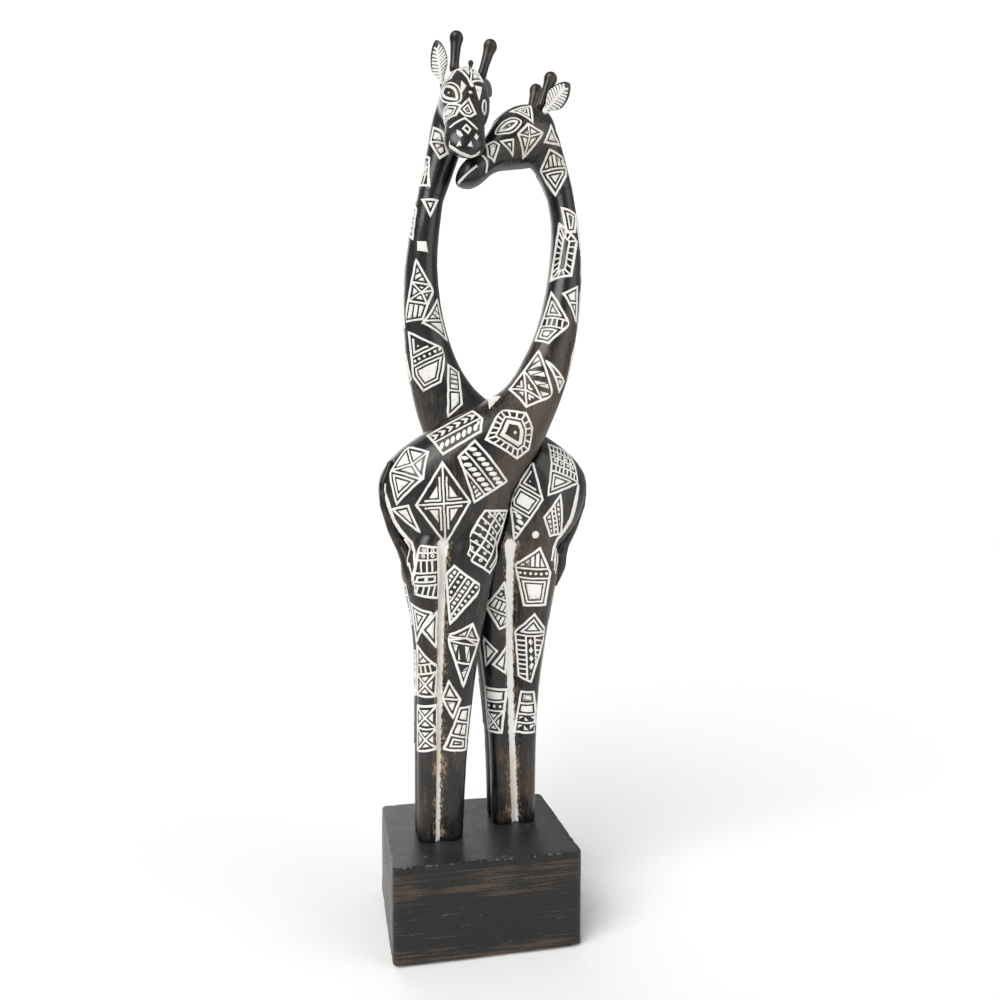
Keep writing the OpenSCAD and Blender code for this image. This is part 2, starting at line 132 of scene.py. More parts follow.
class Wire:
    """A socket of a finish. Sums on it add Math nodes."""

    def __init__(self, finish, socket):
        self.finish = finish
        self.socket = socket

    def sum(self, operation, first, second):
        return self.finish.node("ShaderNodeMath", {"operation": operation}, {0: first, 1: second})

    def __add__(self, other):
        return self.sum("ADD", self, other)

    def __sub__(self, other):
        return self.sum("SUBTRACT", self, other)

    def __rsub__(self, other):
        return self.sum("SUBTRACT", other, self)

    def __mul__(self, other):
        return self.sum("MULTIPLY", self, other)

    def __truediv__(self, other):
        return self.sum("DIVIDE", self, other)

    __radd__ = __add__

    def step(self, low, high):
        """0 below low, 1 above high, and a smooth turn between them."""
        return self.finish.node(
            "ShaderNodeMapRange",
            {"interpolation_type": "SMOOTHSTEP"},
            {"Value": self, "From Min": low, "From Max": high},
        )


class Finish:
    """A material under construction, on Object coordinates in millimetres."""

    def __init__(self, name):
        self.material = bpy.data.materials.new(name)
        self.material.use_nodes = True
        self.tree = self.material.node_tree
        self.tree.nodes.clear()
        self.place = self.node("ShaderNodeTexCoord", output="Object")

    def node(self, kind, settings=None, inputs=None, output=0):
        """Adds a node: its settings first, then the values or links of its sockets."""
        made = self.tree.nodes.new(kind)
        for key, value in (settings or {}).items():
            setattr(made, key, value)
        for key, value in (inputs or {}).items():
            if isinstance(value, Wire):
                self.tree.links.new(value.socket, made.inputs[key])
            elif value is not None:
                made.inputs[key].default_value = value
        return Wire(self, made.outputs[output]) if made.outputs else None

    def noise(self, grain, detail=3, rough=0.5, stretch=(1, 1, 1), warp=0, turn=(0, 0, 0), shift=0):
        """Noise with features about `grain` millimetres across, drawn out by `stretch`."""
        at = self.node(
            "ShaderNodeMapping",
            {},
            {
                "Vector": self.place,
                "Location": [shift] * 3,
                "Rotation": turn,
                "Scale": [1 / (grain * MM * s) for s in stretch],
            },
        )
        sockets = {"Vector": at, "Scale": 1, "Detail": detail, "Roughness": rough, "Distortion": warp}
        return self.node("ShaderNodeTexNoise", {}, sockets)

    def height(self, low, high):
        """0 at z = low and 1 at z = high, in millimetres."""
        z = self.node("ShaderNodeSeparateXYZ", {}, {"Vector": self.place}, "Z")
        return (z / MM).step(low, high)

    def across(self, low, high):
        """0 at x = low and 1 at x = high, in millimetres."""
        x = self.node("ShaderNodeSeparateXYZ", {}, {"Vector": self.place}, "X")
        return (x / MM).step(low, high)

    def worn(self, name):
        """A measure kept on the mesh."""
        return self.node("ShaderNodeAttribute", {"attribute_name": name}, output="Fac")

    def mix(self, share, first, second):
        """The second colour over the first, by a share."""
        return self.node(
            "ShaderNodeMix",
            {"data_type": "RGBA"},
            {0: share, 6: self.full(first), 7: self.full(second)},
            2,
        )

    @staticmethod
    def full(value):
        """A colour with its alpha, or a wire as it is."""
        return value if isinstance(value, Wire) else (*value, 1)

    def finished(self, base, roughness, bump=None, bump_mm=0.1, constants=None):
        """Ends the material with one Principled shader."""
        sockets = {"Base Color": self.full(base), "Roughness": roughness}
        if bump is not None:
            sockets["Normal"] = self.node(
                "ShaderNodeBump", {}, {"Strength": 1, "Distance": bump_mm * MM, "Height": bump}
            )
        sockets.update(constants or {})
        shader = self.node("ShaderNodeBsdfPrincipled", {}, sockets)
        self.node("ShaderNodeOutputMaterial", {}, {"Surface": shader})
        return self.material


def carved_black(name, settings, shift=0):
    """Black stain over brown wood: rubbed streaks, gold specks beside the painted grooves."""
    wood, paint = settings.wood, settings.paint
    finish = Finish(name)
    streak = finish.noise(1.8, 6, 0.66, (1, 1, 12), 0.5, shift=shift)
    fine = finish.noise(0.8, 4, 0.65, (1, 1, 2.5), shift=shift)
    cloud = finish.noise(34, 3, 0.5, (1, 1, 1.5), 0.4, shift=shift)
    mottle = finish.noise(5, 5, 0.65, (1, 1, 1.8), 0.4, shift=shift)
    low = 1 - finish.height(BLOCK_TOP + 30, BLOCK_TOP + 130)
    warm = finish.across(-6, 26) * finish.height(130, 190) * (1 - finish.height(320, 400))
    rub = (cloud * 1.1 + streak * 0.95 + warm * 0.13 + low * 0.03).step(1.05, 1.32)
    dusty = (mottle + low * 0.06).step(0.53, 0.72)
    edge = finish.worn("groove") + (finish.noise(1.3, 4, 0.7, (1, 1, 2)) - 0.5) * 3.0
    beside = 1 - edge.step(0.2, 4.0)
    speck = (fine * 0.8 + mottle * 0.5 + beside * 0.10).step(0.755, 0.81)
    band = 1 - edge.step(-0.3, 0.15)
    base = finish.mix(dusty * 0.5, wood.black, (0.030, 0.024, 0.020))
    base = finish.mix(rub * 0.85, base, wood.brown)
    base = finish.mix(speck * (rub * 0.3 + low * 0.12) + speck * beside * 0.9, base, wood.tan)
    foot = 1 - (finish.height(BLOCK_TOP + 0.5, BLOCK_TOP + 4) + (mottle - 0.5) * 0.8)
    base = finish.mix(foot.step(0.2, 0.8) * 0.92, base, (0.003, 0.003, 0.003))
    chalky = finish.mix(cloud.step(0.45, 0.7) * 0.6, paint.chalk, paint.cream)
    base = finish.mix(band, base, chalky)
    gloss = 0.20 + fine * 0.14 + rub * 0.18 + dusty * 0.08 + band * 0.3
    relief = streak * 0.35 + fine * 0.4 + mottle * 0.4 + band * 0.5
    return finish.finished(base, gloss, relief, 0.12, {"Specular IOR Level": 0.5})


def chalk_paint(name, settings, shift=0):
    """Raised chalky paint, yellowed in clouds and rubbed through in specks."""
    wood, paint = settings.wood, settings.paint
    finish = Finish(name)
    cloud = finish.noise(24, 3, 0.5, warp=0.3, shift=shift)
    fine = finish.noise(0.7, 4, 0.7, shift=shift)
    mid = finish.noise(3, 3, 0.6, shift=shift)
    base = finish.mix(cloud.step(0.52, 0.70) * 0.5, paint.chalk, paint.cream)
    through = (fine * 0.7 + mid * 0.55 + cloud * 0.25).step(0.86, 0.93)
    base = finish.mix(through * 0.75, base, wood.brown)
    return finish.finished(base, 0.5 + fine * 0.2, fine + mid * 0.5, 0.07, {"Specular IOR Level": 0.3})


def block_stain(name, settings):
    """Dark stain with brown brush streaks along the sides and pale worn edges, and a top face painted
    lighter grey as painted light from above.
    """
    block = settings.block
    finish = Finish(name)
    tilt = (0, math.radians(-2.2), 0)
    streak = finish.noise(1.5, 7, 0.66, (26, 26, 1), 0.5, tilt)
    broad = finish.noise(5, 4, 0.6, (15, 15, 1), 0.5, tilt, 3)
    cloud = finish.noise(26, 3, shift=5)
    fine = finish.noise(0.6, 3, 0.7)
    upper = finish.height(28, 38) * (1 - finish.height(BLOCK_TOP - 5, BLOCK_TOP - 2))
    under = 1 - finish.height(3, 12)
    rub = (streak * 0.9 + broad * 0.6 + cloud * 0.35 + upper * 0.17 + under * 0.14).step(1.02, 1.22)
    base = finish.mix(rub, block.black, block.brown)
    # Painted light: the top face is painted a lighter grey, standing in for the light that falls on it from
    # above.
    top = finish.height(BLOCK_TOP - 0.6, BLOCK_TOP - 0.2)
    painted_lit_top = finish.mix(cloud.step(0.35, 0.7), (0.016, 0.018, 0.018), (0.030, 0.031, 0.030))
    base = finish.mix(top, base, painted_lit_top)
    scratch = finish.noise(0.35, 2, 0.5, (30, 30, 1), 1.2, tilt, 9).step(0.70, 0.73)
    pale = (0.34, 0.27, 0.20)
    base = finish.mix(scratch * 0.35, base, pale)
    speck = finish.noise(0.9, 2, 0.5, shift=11).step(0.735, 0.76)
    base = finish.mix(speck * 0.5, base, pale)
    worn = 1 - (finish.worn("edge") + (finish.noise(2.2, 4, 0.7, shift=2) - 0.5) * 7.5).step(-0.5, 0.5)
    base = finish.mix(worn * 0.7, base, (0.26, 0.21, 0.16))
    gloss = 0.30 + fine * 0.12 + rub * 0.14 + top * 0.05
    return finish.finished(base, gloss, streak * 0.7 + fine * 0.3, 0.1, {"Specular IOR Level": 0.32})


def horn_stain(name, settings):
    """The darker, glossier stain of horns and tails."""
    wood = settings.wood
    finish = Finish(name)
    streak = finish.noise(2, 5, 0.6, (1, 1, 3), 0.5)
    cloud = finish.noise(7, 3)
    rub = (streak * 0.7 + cloud * 0.8).step(0.70, 0.95)
    base = finish.mix(rub * 0.8, wood.black, wood.brown)
    base = finish.mix(streak.step(0.64, 0.72) * 0.5, base, wood.tan)
    return finish.finished(base, 0.24 + streak * 0.16, cloud, 0.08, {"Specular IOR Level": 0.4})


def bare_wood(name):
    """Turned dowel wood with grain along the rod."""
    finish = Finish(name)
    grain = finish.noise(0.6, 5, 0.6, (1, 1, 14), 0.3)
    base = finish.mix(grain.step(0.35, 0.7), (0.55, 0.36, 0.19), (0.36, 0.21, 0.10))
    return finish.finished(base, 0.6 + grain * 0.1, grain, 0.06)


def screw_steel(name):
    """Plain zinc-bright screw steel."""
    finish = Finish(name)
    rings = finish.noise(0.5, 3, 0.6, (6, 6, 1))
    base = finish.mix(rings.step(0.3, 0.7), (0.56, 0.57, 0.58), (0.42, 0.43, 0.44))
    return finish.finished(base, 0.28 + rings * 0.15, rings, 0.03, {"Metallic": 1})


def felt_cloth(name):
    """Matt felt with a tangle of fibres."""
    finish = Finish(name)
    fibre = finish.noise(0.35, 5, 0.75, (1, 1, 1), 1.5)
    base = finish.mix(fibre.step(0.35, 0.7), (0.012, 0.012, 0.014), (0.045, 0.045, 0.05))
    return finish.finished(base, 0.95, fibre, 0.25, {"Sheen Weight": 0.4, "Sheen Roughness": 0.5})


# ---- Mesh helpers ----


def settings():
    """What the user has set."""
    return bpy.context.scene.giraffes


def new_piece(name, bm, material, slot, *replaced):
    """Makes a finished piece from a bmesh, in place, and hangs it on the frame."""
    mesh = bpy.data.meshes.new(name)
    bm.to_mesh(mesh)
    bm.free()
    piece = bpy.data.objects.new(name, mesh)
    bpy.context.scene.collection.objects.link(piece)
    for face in mesh.polygons:
        face.use_smooth = True
    mesh.materials.append(material)
    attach(piece, BODY)
    if replaced:
        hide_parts(*replaced)
    return piece


def merged(*nodes):
    """A bmesh of the nodes' own surfaces, with their doubles merged."""
    bm = bmesh.new()
    for node in nodes:
        bm.from_mesh(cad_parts[node].data)
    bmesh.ops.remove_doubles(bm, verts=bm.verts, dist=1e-6)
    return bm


def celled(bm, cell, rounds):
    """The same solid in even cells, rubbed smooth."""
    mesh = bpy.data.meshes.new("cells")
    bm.to_mesh(mesh)
    bm.free()
    holder = bpy.data.objects.new("cells", mesh)
    bpy.context.scene.collection.objects.link(holder)
    remesh = holder.modifiers.new("cells", "REMESH")
    remesh.mode = "VOXEL"
    remesh.voxel_size = cell
    graph = bpy.context.evaluated_depsgraph_get()
    even = bpy.data.meshes.new_from_object(holder.evaluated_get(graph))
    bpy.data.objects.remove(holder)
    bm = bmesh.new()
    bm.from_mesh(even)
    bpy.data.meshes.remove(even)
    bpy.data.meshes.remove(mesh)
    for _ in range(rounds):
        bmesh.ops.smooth_vert(
            bm, verts=bm.verts, factor=0.5, use_axis_x=True, use_axis_y=True, use_axis_z=True
        )
    return bm


def islands(bm):
    """The bmesh's separate shells, as lists of vertices."""
    bm.verts.ensure_lookup_table()
    seen = set()
    shells = []
    for start in bm.verts:
        if start.index in seen:
            continue
        seen.add(start.index)
        shell = [start]
        for vert in shell:
            for edge in vert.link_edges:
                other = edge.other_vert(vert)
                if other.index not in seen:
                    seen.add(other.index)
                    shell.append(other)
        shells.append(shell)
    return shells


class Joint:
    """Where a head sits on its neck: the glue line's centre and the way the neck points."""

    def __init__(self, centre, lean):
        self.centre = Vector(centre) * MM
        self.way = Vector((math.sin(math.radians(lean)), 0, math.cos(math.radians(lean))))
        self.reach = 17 * MM

    def split(self, bm):
        """Cuts the neck through and returns the vertices of (the body, the head)."""
        near = [f for f in bm.faces if (f.calc_center_median() - self.centre).length < self.reach]
        geometry = near + list({e for f in near for e in f.edges} | {v for f in near for v in f.verts})
        cut = bmesh.ops.bisect_plane(
            bm, geom=geometry, dist=1e-7, plane_co=self.centre, plane_no=self.way
        )
        edges = [g for g in cut["geom_cut"] if isinstance(g, bmesh.types.BMEdge)]
        bmesh.ops.split_edges(bm, edges=edges)
        bm.verts.index_update()
        shells = sorted(islands(bm), key=len, reverse=True)[:4]
        lowest = [min(v.co.z for v in shell) for shell in shells]
        body = shells[lowest.index(min(lowest))]
        head = max(shells, key=lambda shell: max(v.co.z for v in shell))
        return body, head


def keep_only(bm, kept):
    """Deletes every vertex but these, and caps the cut."""
    kept = set(kept)
    bmesh.ops.delete(bm, geom=[v for v in bm.verts if v not in kept], context="VERTS")
    rim = [e for e in bm.edges if e.is_boundary]
    bmesh.ops.holes_fill(bm, edges=rim, sides=0)
    bmesh.ops.recalc_face_normals(bm, faces=bm.faces)


FRONT_JOINT = Joint((51.8, 3.5, BLOCK_TOP + 371.5), -25.3)
REAR_JOINT = Joint((-25.8, 1, BLOCK_TOP + 362.5), 19.1)


# ---- Drawing raised paint ----


def unit(angle):
    """The direction at an angle in degrees."""
    return Vector((math.cos(math.radians(angle)), math.sin(math.radians(angle))))


def sides_of(outline):
    """The outline's sides, each from one corner to the next."""
    return zip(outline, outline[1:] + outline[:1])


def signed_area(outline):
    """The area that the outline goes round, positive if it goes round anticlockwise."""
    return sum(a.x * b.y - b.x * a.y for a, b in sides_of(outline)) / 2


def area(outline):
    """The area inside the outline, and 0 for an empty one."""
    return abs(signed_area(outline))


def turned(outline):
    """The outline, anticlockwise."""
    return outline if signed_area(outline) > 0 else outline[::-1]


def middle(outline):
    """The mean of the outline's corners."""
    return sum(outline, Vector((0, 0))) / len(outline)


def spaced(outline):
    """The outline without corners that nearly coincide."""
    kept = [a for a, b in sides_of(outline) if (b - a).length > 0.3]
    return kept if len(kept) > 2 else []


def crossings(outline, point, way):
    """Where a line cuts the outline."""
    normal = Vector((-way.y, way.x))
    found = []
    for here, after in sides_of(outline):
        a, b = (here - point).dot(normal), (after - point).dot(normal)
        if a * b < 0:
            found.append(here.lerp(after, a / (a - b)))
    return found


def side_of(outline, point, way):
    """The part of the outline on the left of a line."""
    normal = Vector((-way.y, way.x))
    left = []
    for here, after in sides_of(outline):
        a, b = (here - point).dot(normal), (after - point).dot(normal)
        if a >= 0:
            left.append(here)
        if a * b < 0:
            left.append(here.lerp(after, a / (a - b)))
    return left if len(left) > 2 and area(left) > 0.3 else []


def shrunk(outline, gap):
    """The outline drawn in by a gap all round, or nothing if that leaves too little."""
    outline = turned(outline)
    rest = outline
    for here, after in sides_of(outline):
        way = (after - here).normalized()
        rest = side_of(rest, here + Vector((-way.y, way.x)) * gap, way)
    return spaced(rest)


def cuts(outline, angle, shares):
    """Where bands across a direction part from one another, by their shares of the length."""
    reach = [point.dot(unit(angle)) for point in outline]
    low, high = min(reach), max(reach)
    ends = [low + (high - low) * sum(shares[:k]) / sum(shares) for k in range(1, len(shares))]
    return [unit(angle) * end for end in ends]


def slices(outline, angle, shares, kerf=0.0):
    """The outline cut into bands across a direction, with a gap between each two."""
    if not outline:
        return []
    along, rest, parts = unit(angle), outline, []
    for at in cuts(outline, angle, shares):
        parts.append(spaced(side_of(rest, at - along * kerf / 2, unit(angle + 90))))
        rest = side_of(rest, at + along * kerf / 2, unit(angle - 90))
    return parts + [spaced(rest)]


def long_way(outline):
    """The direction of the outline's longest side, in degrees, and its extent that way."""
    a, b = max(sides_of(outline), key=lambda side: (side[1] - side[0]).length)
    angle = math.degrees(math.atan2(b.y - a.y, b.x - a.x)) % 180
    reach = [point.dot(unit(angle)) for point in outline]
    return angle, max(reach) - min(reach)


def rounded(outline):
    """The outline with its corners cut off three times over."""
    for _ in range(3):
        outline = [point for a, b in sides_of(outline) for point in (a.lerp(b, 0.25), a.lerp(b, 0.75))]
    return outline


def parted(outline, pitch, kerf=0.0):
    """The outline cut into parts about a pitch long, and the direction that they follow each other."""
    if not outline:
        return [], 0
    angle, extent = long_way(outline)
    return slices(outline, angle, [1] * max(1, round(extent / pitch)), kerf), angle


class Brush:
    """Draws raised strokes, fills and dots on a skin. Its sizes are in millimetres."""

    outside = 400
    reach = 12
    stroke_step = 1.4
    fill_step = 1.6
    trail_step = 0.9
    sunk = 0.45
    rounding = 0.16

    def __init__(self, trees, seed, paint, fineness=1):
        self.trees = trees
        self.chance = random.Random(seed)
        noise.seed_set(seed)
        self.wide = paint.outline_w / MM * fineness
        self.thin = paint.stroke_w / MM * fineness
        self.gap = paint.gap_w / MM
        self.relief = paint.relief / MM
        self.all = bmesh.new()

    def nearest(self, point):
        """The nearest spot of the skin: its place, normal, face and distance."""
        found = [tree.find_nearest(point) for tree in self.trees]
        return min((f for f in found if f[0] is not None), key=lambda f: f[3])

    def under(self, point):
        """The skin under a point of the drawing: straight under it, unless that is far down."""
        nearest = self.nearest(point)
        start, down = point + self.normal * self.reach * MM, -self.normal
        hits = [tree.ray_cast(start, down, 2 * self.reach * MM) for tree in self.trees]
        depths = [((hit[0] - point).length / MM, hit[0]) for hit in hits if hit[0] is not None]
        if not depths:
            return nearest
        depth, place = min(depths, key=lambda found: found[0])
        return self.nearest(place.lerp(nearest[0], min(1, max(0, (depth - 3.5) / 4))))

    def place(self, side, across, height):
        """Sets the brush on the skin, looking from a side: near, far, left or right."""
        start, way = {
            "near": (Vector((across, -self.outside, height)), Vector((0, 1, 0))),
            "far": (Vector((across, self.outside, height)), Vector((0, -1, 0))),
            "left": (Vector((-self.outside, across, height)), Vector((1, 0, 0))),
            "right": (Vector((self.outside, across, height)), Vector((-1, 0, 0))),
        }[side]
        hits = [tree.ray_cast(start * MM, way) for tree in self.trees]
        hits = [hit for hit in hits if hit[0] is not None]
        if not hits:
            raise RuntimeError(f"no skin at {side} {across}, {height}")
        self.centre = min(hits, key=lambda hit: hit[3])[0]
        steps = ((0, 0, 0), (4, 0, 0), (-4, 0, 0), (0, 0, 4), (0, 0, -4))
        normals = [self.nearest(self.centre + Vector(step) * MM)[1] for step in steps]
        self.normal = sum(normals, Vector()).normalized()
        self.up = (Vector((0, 0, 1)) - self.normal * self.normal.z).normalized()
        self.right = self.up.cross(self.normal)
        self.sheet = bmesh.new()
        self.fills = []

    def line(self, points, closed=False, width=None):
        """A stroke through the points, with mitred corners."""
        half = (width or self.thin) * self.chance.uniform(0.92, 1.08) / 2
        count = len(points)
        if count < 2:
            return
        fine = []
        for i in range(count if closed else count - 1):
            a, b = points[i], points[(i + 1) % count]
            steps = max(1, math.ceil((b - a).length / self.stroke_step))
            fine += [a.lerp(b, k / steps) for k in range(steps)]
        if not closed:
            fine.append(points[-1])
        sides = []
        for i, here in enumerate(fine):
            before = fine[i - 1] if closed or i else here
            after = fine[(i + 1) % len(fine)] if closed or i < len(fine) - 1 else here
            first = (here - before).normalized() if here != before else (after - here).normalized()
            second = (after - here).normalized() if here != after else first
            offset = Vector((-first.y, first.x)) + Vector((-second.y, second.x))
            offset *= half / max(1 + first.dot(second), 0.5)
            sides.append([self.sheet.verts.new((*(here + offset * s), 0)) for s in (1, -1)])
        for i in range(len(fine) if closed else len(fine) - 1):
            (a, b), (c, d) = sides[i], sides[(i + 1) % len(fine)]
            self.sheet.faces.new((a, b, d, c))

    def fill(self, outline):
        """A solid shape."""
        if len(outline) > 2 and area(outline) > 0.25:
            corners = [self.sheet.verts.new((*point, 0)) for point in turned(outline)]
            self.fills.append(self.sheet.faces.new(corners))

    def dot(self, centre, radius):
        """A round dot."""
        place = Matrix.Translation((*centre, 0))
        bmesh.ops.create_circle(self.sheet, cap_ends=True, segments=10, radius=radius, matrix=place)

    def ring(self, centre, radius, width):
        """A small ring, drawn with eight strokes."""
        self.line([centre + unit(a) * radius for a in range(0, 360, 45)], True, width)

    def lift(self):
        """Gives what was drawn its thickness and lays it on the skin."""
        sheet = self.sheet
        if self.fills:
            geometry = self.fills + list(
                {e for f in self.fills for e in f.edges} | {v for f in self.fills for v in f.verts}
            )
            reach = [abs(c) for f in self.fills for v in f.verts for c in v.co.xy]
            lines = int(max(reach) / self.fill_step) + 1
            for axis in (Vector((1, 0, 0)), Vector((0, 1, 0))):
                for k in range(-lines, lines + 1):
                    at = axis * self.fill_step * k
                    cut = bmesh.ops.bisect_plane(sheet, geom=geometry, dist=1e-4, plane_co=at, plane_no=axis)
                    geometry = cut["geom"]
        for face in sheet.faces:
            if face.normal.z < 0:
                face.normal_flip()
        raised = bmesh.ops.extrude_face_region(sheet, geom=sheet.faces[:])["geom"]
        tops = [g for g in raised if isinstance(g, bmesh.types.BMFace)]
        top_verts = {v for f in tops for v in f.verts}
        for vert in sheet.verts:
            vert.co.z = self.relief - self.rounding if vert in top_verts else -self.sunk
        bmesh.ops.inset_region(
            sheet,
            faces=tops,
            thickness=self.rounding * 1.5,
            depth=self.rounding,
            use_even_offset=False,
            use_boundary=True,
        )
        bmesh.ops.recalc_face_normals(sheet, faces=sheet.faces)
        seed = Vector([self.chance.uniform(0, 50) for _ in range(3)])
        for vert in sheet.verts:
            spot = Vector((vert.co.x, vert.co.y, 0))
            sway, tremble = noise.noise_vector(spot / 4 + seed), noise.noise_vector(spot / 1.1 + seed)
            wobble = sway * 0.22 + tremble * 0.09
            flat = (vert.co.x + wobble.x, vert.co.y + wobble.y)
            point = self.centre + (self.right * flat[0] + self.up * flat[1]) * MM
            found = self.under(point)
            vert.co = found[0] + found[1] * (vert.co.z + wobble.z * 0.25) * MM
        mesh = bpy.data.meshes.new("sheet")
        sheet.to_mesh(mesh)
        sheet.free()
        self.all.from_mesh(mesh)
        bpy.data.meshes.remove(mesh)

    def trail(self, points, widths):
        """A raised band along points in space, laid on the nearest skin."""
        points = [Vector(point) for point in points]
        spots = []
        for a, b, start, end in zip(points, points[1:], widths, widths[1:]):
            steps = max(1, math.ceil((b - a).length / self.trail_step))
            for k in range(steps):
                spots.append((self.nearest(a.lerp(b, k / steps) * MM), start + (end - start) * k / steps))
        shape = ((-1, -0.45), (-1, 0.2), (-0.6, 0.38), (0.6, 0.38), (1, 0.2), (1, -0.45))
        rings = []
        for i, ((at, normal, _, _), width) in enumerate(spots):
            ahead = spots[min(i + 1, len(spots) - 1)][0][0] - spots[max(i - 1, 0)][0][0]
            across = normal.cross(ahead).normalized() * MM
            half = max(0.2, width / 2 + noise.noise(at / (1.3 * MM)) * 0.35)
            corners = [at + across * half * s + normal * MM * z for s, z in shape]
            rings.append([self.all.verts.new(corner) for corner in corners])
        faces = [self.all.faces.new(rings[0]), self.all.faces.new(rings[-1])]
        for near, far in zip(rings, rings[1:]):
            for k in range(len(shape)):
                after = (k + 1) % len(shape)
                faces.append(self.all.faces.new((near[k], near[after], far[after], far[k])))
        bmesh.ops.recalc_face_normals(self.all, faces=faces)


# What fills one cell of a patch. Each is given the brush and the cell's outline.


def solid(brush, cell):
    """One solid shape."""
    brush.fill(shrunk(cell, brush.gap))


def nested(brush, cell):
    """A smaller outline inside, with a solid heart."""
    inner = shrunk(cell, brush.gap + brush.thin / 2)
    if area(inner) < 13:
        solid(brush, cell)
        return
    brush.line(inner, True)
    brush.fill(shrunk(inner, brush.gap * 0.9 + brush.thin / 2))


def eye(brush, cell):
    """A ring round a dot."""
    inner = shrunk(cell, brush.gap + brush.thin / 2)
    if inner:
        brush.line(inner, True)
        brush.dot(middle(inner), 1.1)


def rule(brush, cell, point, angle, width=None):
    """A line right across the cell, through a point."""
    brush.line(crossings(cell, point, unit(angle))[:2], width=width)


def bars(brush, cell, pitch=2.7, kerf=0.95):
    """Solid bars across the cell, clear of its edge."""
    for part in parted(shrunk(cell, brush.gap * 0.9), pitch, kerf)[0]:
        brush.fill(part)


def ladder(brush, cell, pitch=2.7, rung=0.95):
    """Lines right across the cell, with dark squares between."""
    angle, extent = long_way(cell)
    for at in cuts(cell, angle, [1] * max(1, round(extent / pitch))):
        rule(brush, cell, at, angle - 90, rung)


def dots(brush, cell, pitch=3.1):
    """A row of dots along the cell."""
    for part in parted(cell, pitch)[0]:
        if area(part) > 2:
            brush.dot(middle(part), min(0.85, math.sqrt(area(part)) * 0.3))


def teeth(brush, cell, pitch=3.6, kerf=0.3):
    """A row of solid triangles, pointing one way and then the other."""
    parts, angle = parted(shrunk(cell, brush.gap * 0.7), pitch, kerf)
    across = unit(angle + 90)
    for k, part in enumerate(parts):
        if part:
            low, high = sorted(part, key=lambda point: point.dot(across))[:: len(part) - 1]
            base, tip = (low, high) if k % 2 else (high, low)
            level = [point for point in part if abs((point - base).dot(across)) < 1.2]
            brush.fill(shrunk([level[0], level[-1], tip] if len(level) > 1 else part, kerf / 2))


def gems(brush, cell, pitch=5.2):
    """A row of solid diamonds."""
    for part in parted(shrunk(cell, brush.gap * 0.6), pitch)[0]:
        brush.fill(shrunk([(a + b) / 2 for a, b in sides_of(part)], 0.12))


def leaves(brush, cell, pitch=3.5, lean=48):
    """A row of slanted leaf shapes."""
    parts, angle = parted(cell, pitch)
    turn = Matrix.Rotation(math.radians(angle + lean), 2)
    for part in parts:
        if area(part) > 4:
            size = min(4.4, math.sqrt(area(part)))
            shape = [Vector((unit(a).x * size * 0.56, unit(a).y * size * 0.27)) for a in range(0, 360, 45)]
            brush.fill([middle(part) + turn @ point for point in shape])


def arrows(brush, cell, pitch=4.6):
    """A row of chevrons along the cell."""
    parts, angle = parted(cell, pitch)
    out, up = unit(angle), unit(angle + 90)
    shape = ((1, 0), (-0.3, 1), (-1.1, 1), (-0.2, 0), (-1.1, -1), (-0.3, -1))
    for part in parts:
        if area(part) > 6:
            reach = min(2.3, math.sqrt(area(part)) * 0.42)
            brush.fill([middle(part) + out * reach * u * 0.9 + up * reach * v for u, v in shape])


def dice(brush, cell, pitch=4.6):
    """A grid of two rows of squares with a ring in each."""
    angle, extent = long_way(cell)
    count = max(2, round(extent / pitch))
    rule(brush, cell, cuts(cell, angle + 90, [1, 1])[0], angle)
    for at in cuts(cell, angle, [1] * count):
        rule(brush, cell, at, angle - 90)
    for row in slices(cell, angle + 90, [1, 1]):
        for part in slices(row, angle, [1] * count):
            if area(part) > 7:
                brush.ring(middle(part), 0.72, 0.6)


def spokes(brush, cell):
    """Lines from the middle to each corner, and a solid piece between each two."""
    centre = middle(cell)
    for a, b in sides_of(cell):
        brush.line([centre, a])
        brush.fill(shrunk([centre, a, b], brush.gap * 0.8 + brush.thin / 2))


def quarters(brush, cell):
    """Lines from the middle to each corner, and a nested angle between each two."""
    centre = middle(cell)
    for a, b in sides_of(cell):
        brush.line([centre, a])
        quarter = shrunk([centre, a, b], brush.gap * 0.9 + brush.thin)
        if len(quarter) == 3:
            k = min(range(3), key=lambda i: (quarter[i] - centre).length)
            brush.line([quarter[k - 1], quarter[k], quarter[(k + 1) % 3]])
            brush.fill(shrunk(quarter, brush.gap * 0.8 + brush.thin / 2))


def framed(brush, cell, depth=3.3, pitch=3.9, rung=0.95):
    """A frame of dark blocks round a nested heart."""
    inner = shrunk(cell, depth)
    if len(inner) == len(cell):
        brush.line(inner, True)
        outer = turned(cell)
        start = min(range(len(inner)), key=lambda k: (inner[k] - outer[0]).length)
        inner = inner[start:] + inner[:start]
        for (a, b), (c, d) in zip(sides_of(outer), sides_of(inner)):
            count = max(1, round((b - a).length / pitch))
            for k in range(count):
                brush.line([a.lerp(b, k / count), c.lerp(d, k / count)], width=rung)
        heart = shrunk(inner, brush.gap * 2.5)
        if heart:
            brush.line(heart, True, 2.1)
            brush.dot(middle(heart), 0.9)
    else:
        nested(brush, cell)


def angles(brush, cell):
    """Nested chevrons that follow two sides of the cell."""
    inner = shrunk(cell, brush.gap + brush.thin / 2)
    while area(inner) > 14:
        brush.line((inner + inner)[1:4])
        inner = shrunk(inner, brush.gap + brush.thin)
    brush.fill(inner)


def bands(angle, *fillers, shares=None):
    """Cuts a cell into bands by lines and fills each with its own pattern."""

    def draw(brush, cell):
        sizes = shares or [1] * len(fillers)
        for at in cuts(cell, angle, sizes):
            ends = crossings(cell, at, unit(angle - 90))
            if len(ends) == 2:
                over = (ends[1] - ends[0]).normalized() * 0.4
                brush.line([ends[0] - over, ends[1] + over])
        for part, filler in zip(slices(cell, angle, sizes, brush.thin), fillers):
            if part:
                filler(brush, part)

    return draw


